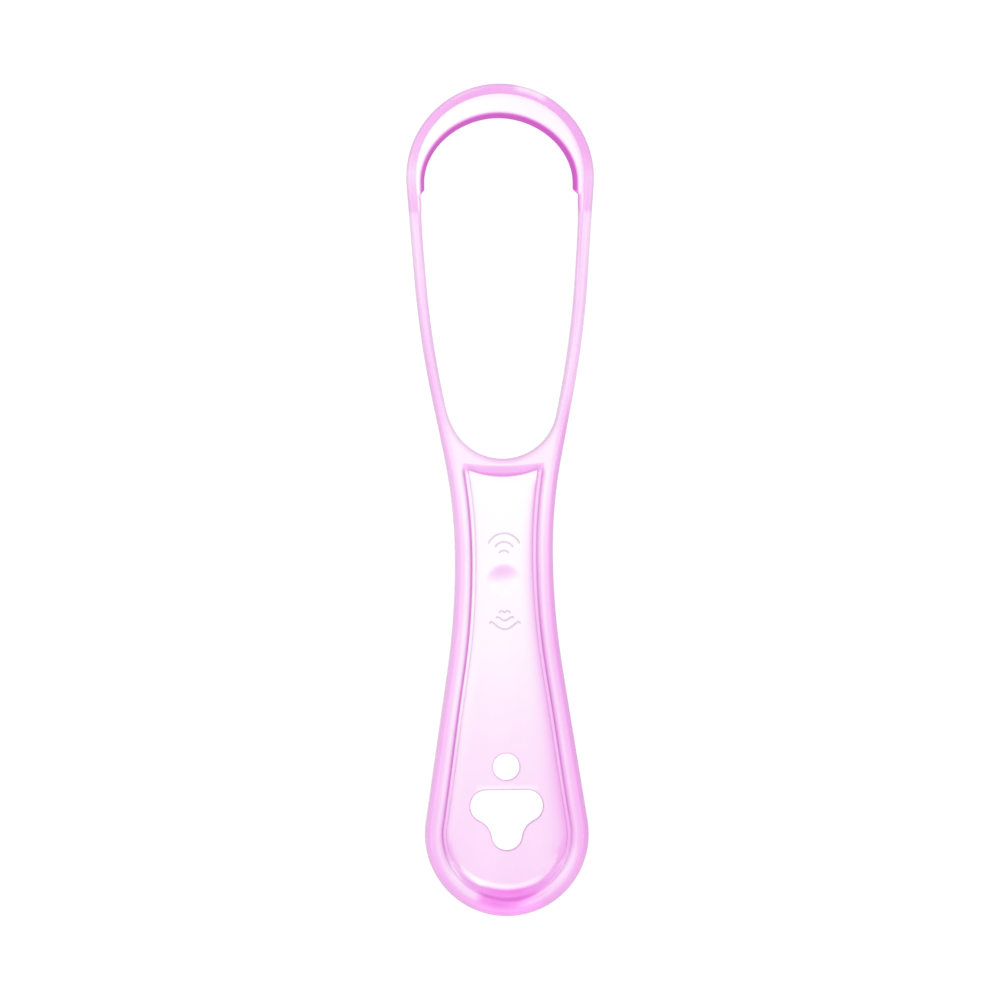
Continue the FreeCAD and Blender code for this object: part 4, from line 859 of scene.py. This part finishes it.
def tinted(name, rough_lo, rough_hi, flow_lo, flow_hi, gloss, coat, clear):
    m = bpy.data.materials.new(name)
    m.use_nodes = True
    nt = m.node_tree
    nt.nodes.clear()
    out = node(nt, "ShaderNodeOutputMaterial", (900, 0))
    p = node(nt, "ShaderNodeBsdfPrincipled", (600, 0))
    nt.links.new(p.outputs[0], out.inputs["Surface"])
    tc = node(nt, "ShaderNodeTexCoord", (-900, 0))
    # depth of the tint with painted highlights and shade in it, and the flow of the melt as long soft streaks in it
    tint_with_painted_light = node(nt, "ShaderNodeAttribute", (-250, 200), attribute_type="GEOMETRY", attribute_name="tint_with_painted_light")
    mp = node(nt, "ShaderNodeMapping", (-700, 0))
    mp.inputs["Scale"].default_value = (150, 26, 150)
    nt.links.new(tc.outputs["Object"], mp.inputs[0])
    flow = node(nt, "ShaderNodeTexNoise", (-500, 0))
    flow.inputs["Scale"].default_value = 1.0
    flow.inputs["Detail"].default_value = 3.0
    nt.links.new(mp.outputs[0], flow.inputs["Vector"])
    amount = node(nt, "ShaderNodeMapRange", (-250, 0))
    amount.inputs["From Min"].default_value = 0.3
    amount.inputs["From Max"].default_value = 0.7
    amount.inputs["To Min"].default_value = flow_lo
    amount.inputs["To Max"].default_value = flow_hi
    nt.links.new(flow.outputs["Fac"], amount.inputs["Value"])
    gam = node(nt, "ShaderNodeGamma", (50, 150))
    nt.links.new(tint_with_painted_light.outputs["Color"], gam.inputs["Color"])
    nt.links.new(amount.outputs[0], gam.inputs["Gamma"])
    nt.links.new(gam.outputs[0], p.inputs["Base Color"])
    # polish of the mould: fine uneven gloss
    fine = node(nt, "ShaderNodeTexNoise", (-500, -300))
    fine.inputs["Scale"].default_value = 900.0
    fine.inputs["Detail"].default_value = 4.0
    nt.links.new(tc.outputs["Object"], fine.inputs["Vector"])
    rough = node(nt, "ShaderNodeMapRange", (-250, -250))
    rough.inputs["To Min"].default_value = rough_lo
    rough.inputs["To Max"].default_value = rough_hi
    nt.links.new(fine.outputs["Fac"], rough.inputs["Value"])
    nt.links.new(rough.outputs[0], p.inputs["Roughness"])
    wave = node(nt, "ShaderNodeTexNoise", (-500, -560))
    wave.inputs["Scale"].default_value = 160.0
    wave.inputs["Detail"].default_value = 2.0
    nt.links.new(tc.outputs["Object"], wave.inputs["Vector"])
    bump = node(nt, "ShaderNodeBump", (100, -400))
    bump.inputs["Strength"].default_value = 0.06
    bump.inputs["Distance"].default_value = 0.00008
    nt.links.new(wave.outputs["Fac"], bump.inputs["Height"])
    nt.links.new(bump.outputs[0], p.inputs["Normal"])
    p.inputs["IOR"].default_value = 1.49
    p.inputs["Specular IOR Level"].default_value = gloss
    p.inputs["Transmission Weight"].default_value = clear
    p.inputs["Coat Weight"].default_value = coat
    p.inputs["Coat Roughness"].default_value = 0.14
    return m


MATS = {
    "tinted_shell": tinted("tinted_plastic", 0.2, 0.3, 0.95, 1.05, 0.35, 0.2, 0.05),
    "scraping_edge": tinted("edge_plastic", 0.3, 0.38, 0.95, 1.05, 0.03, 0.0, 0.0),
    "grip_ribs": tinted("rib_plastic", 0.24, 0.34, 0.9, 1.1, 0.35, 0.0, 0.1),
}


def piece(name, co, faces, normals, tint_with_painted_light, slot):
    me = bpy.data.meshes.new(name)
    me.from_pydata(co.tolist(), [], faces)
    me.update()
    me.shade_smooth()
    layer = me.attributes.new("tint_with_painted_light", "FLOAT_COLOR", "POINT")
    layer.data.foreach_set("color", np.c_[tint_with_painted_light, np.ones(len(tint_with_painted_light))].astype(np.float32).ravel())
    if normals is not None:
        me.normals_split_custom_set([tuple(v) for v in normals])
    me.materials.append(MATS[slot])
    ob = bpy.data.objects.new(name, me)
    bpy.context.scene.collection.objects.link(ob)
    bm = bmesh.new()
    bm.from_mesh(me)
    loose = sum(1 for ed in bm.edges if not ed.is_manifold)
    print(name, "verts", len(me.vertices), "faces", len(me.polygons), "open edges", loose, "volume mm3", round(bm.calc_volume() * 1e9, 1))
    bm.free()
    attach(ob, "root")
    return ob


other = np.full(len(e), -1)  # the triangle across each edge
order = np.argsort(inv, kind="stable")
for s0 in range(len(order) - 1):
    p_, q_ = order[s0], order[s0 + 1]
    if inv[p_] == inv[q_]:
        other[p_], other[q_] = owner[q_], owner[p_]

for z, name in enumerate(ZONES):
    own = zone == z
    faces = TRI[own].tolist() + (TRI[own][:, ::-1] + n).tolist() + edge_quads(rim[own[rim_owner]].tolist())
    normals = [VN[v] for f in faces for v in f]
    seam = np.nonzero((other >= 0) & own[owner] & (zone[other] != z))[0]
    for k in seam:
        a, b = int(e[k, 0]), int(e[k, 1])
        ring = [b] + column(a) + column(b)[:0:-1]
        faces.append(ring)
        d = XY[b] - XY[a]
        d = d / np.linalg.norm(d)
        normals += [np.array([d[1], -d[0], 0.0])] * len(ring)
    ids = np.unique(np.concatenate([np.asarray(f) for f in faces]))
    local = {int(v): i for i, v in enumerate(ids)}
    faces = [[local[int(v)] for v in f] for f in faces]
    ob = piece(name, CO[ids], faces, normals, TINT_WITH_PAINTED_LIGHT[ids] * (1.0 if name == "scraping_edge" else 0.9), "scraping_edge" if name == "scraping_edge" else "tinted_shell")
    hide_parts(name)

# ribs: rounded strings that stand on the panel
for name, group in RIBS.items():
    co, faces, depth = [], [], []
    for r in group:
        step = np.linalg.norm(np.diff(r, axis=0), axis=1)
        s = np.r_[0, np.cumsum(step)]
        nrm = left_normals(r, False)
        reach = np.minimum(s, s[-1] - s)
        fat = np.sqrt(np.clip(1 - (1 - np.clip(reach / 0.22, 0, 1)) ** 2, 0.03, 1))
        start = len(co)
        angles = np.linspace(0, math.pi, 9)
        for p, nn, q in zip(r, nrm, fat):
            w, h = RIB_W * q, RIB_H * (0.25 + 0.75 * q)
            ring = [(p[0] + nn[0] * w, p[1] + nn[1] * w, PANEL_F - 0.06)]
            ring += [(p[0] + nn[0] * w * math.cos(a), p[1] + nn[1] * w * math.cos(a), PANEL_F + h * math.sin(a)) for a in angles]
            ring += [(p[0] - nn[0] * w, p[1] - nn[1] * w, PANEL_F - 0.06)]
            co += ring
            # each rib paler along its top: painted highlight
            depth += [0.5] + [0.5 - 0.15 * math.sin(a) for a in angles] + [0.5]
        k = len(angles) + 2
        for i in range(len(r) - 1):
            for j in range(k):
                a, b = start + i * k + j, start + i * k + (j + 1) % k
                faces.append((a, b, b + k, a + k))
        faces.append([start + j for j in range(k)][::-1])
        faces.append([start + (len(r) - 1) * k + j for j in range(k)])
    # the ribs greyed by 0.24: painted shade
    ob = piece(name, np.array(co) * MM, faces, None, plastic(0.6 * np.array(depth), np.full(len(depth), 0.24)), "grip_ribs")
    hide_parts(name)

# ------------------------------------------------------------------ stage
bpy.ops.mesh.primitive_plane_add(size=4, location=(0, 0, -0.0003))
floor = bpy.context.object
floor.name = "floor"
fm = bpy.data.materials.new("floor_white")
fm.use_nodes = True
fn = fm.node_tree
fb = fn.nodes["Principled BSDF"]
nz = node(fn, "ShaderNodeTexNoise", (-500, 0))
nz.inputs["Scale"].default_value = 30
fr = node(fn, "ShaderNodeValToRGB", (-250, 0))
fr.color_ramp.elements[0].color = (0.1, 0.1, 0.1, 1)
fr.color_ramp.elements[1].color = (0.12, 0.12, 0.12, 1)
fn.links.new(nz.outputs["Fac"], fr.inputs[0])
fn.links.new(fr.outputs[0], fb.inputs["Base Color"])
fb.inputs["Roughness"].default_value = 0.9
fb.inputs["Specular IOR Level"].default_value = 0.1
fb.inputs["Emission Color"].default_value = (1, 1, 1, 1)
fb.inputs["Emission Strength"].default_value = 0.94
floor.data.materials.append(fm)

sc = bpy.context.scene
w = bpy.data.worlds.new("studio")
sc.world = w
w.use_nodes = True
w.node_tree.nodes["Background"].inputs[0].default_value = (1, 1, 1, 1)
w.node_tree.nodes["Background"].inputs[1].default_value = 0.88


def area(name, loc, target, sx, sy, power, colour=(1, 1, 1)):
    d = bpy.data.lights.new(name, "AREA")
    d.shape = "RECTANGLE"
    d.size, d.size_y = sx, sy
    d.energy = power
    d.color = colour
    o = bpy.data.objects.new(name, d)
    sc.collection.objects.link(o)
    o.location = loc
    o.rotation_euler = (Vector(target) - Vector(loc)).to_track_quat("-Z", "Y").to_euler()
    return o


area("key_left", (-0.5, 0.05, 0.95), (0, 0, 0), 0.7, 0.22, 1.7)
area("fill_right", (0.5, 0.05, 0.95), (0, 0, 0), 0.7, 0.22, 1.2)
area("overhead", (0.0, 0.5, 1.05), (0, 0.0, 0), 0.5, 0.25, 1.1)
area("front", (0.0, -0.7, 0.8), (0, 0.0, 0), 0.6, 0.3, 0.9)

cam_d = bpy.data.cameras.new("camera")
cam_d.sensor_width = 36.0
DIST = 0.80
cam_d.lens = 36.0 * DIST / 0.1863
cam_d.clip_start = 0.01
cam = bpy.data.objects.new("camera", cam_d)
sc.collection.objects.link(cam)
aim = Vector((-0.000625, 0.0, 0.0022))
tilt = math.radians(2.8)
cam.location = aim + Vector((-math.sin(tilt), 0, math.cos(tilt))) * DIST
back = (cam.location - aim).normalized()
right = Vector((0, 1, 0)).cross(back).normalized()
turn = Matrix((right, back.cross(right), back)).transposed().to_quaternion()
cam.rotation_mode = "QUATERNION"
cam.rotation_quaternion = turn @ Quaternion((0, 0, 1), math.radians(-0.6))
sc.camera = cam

sc.view_settings.view_transform = "Standard"
sc.view_settings.look = "None"
sc.cycles.use_denoising = True
sc.cycles.sample_clamp_indirect = 2.0
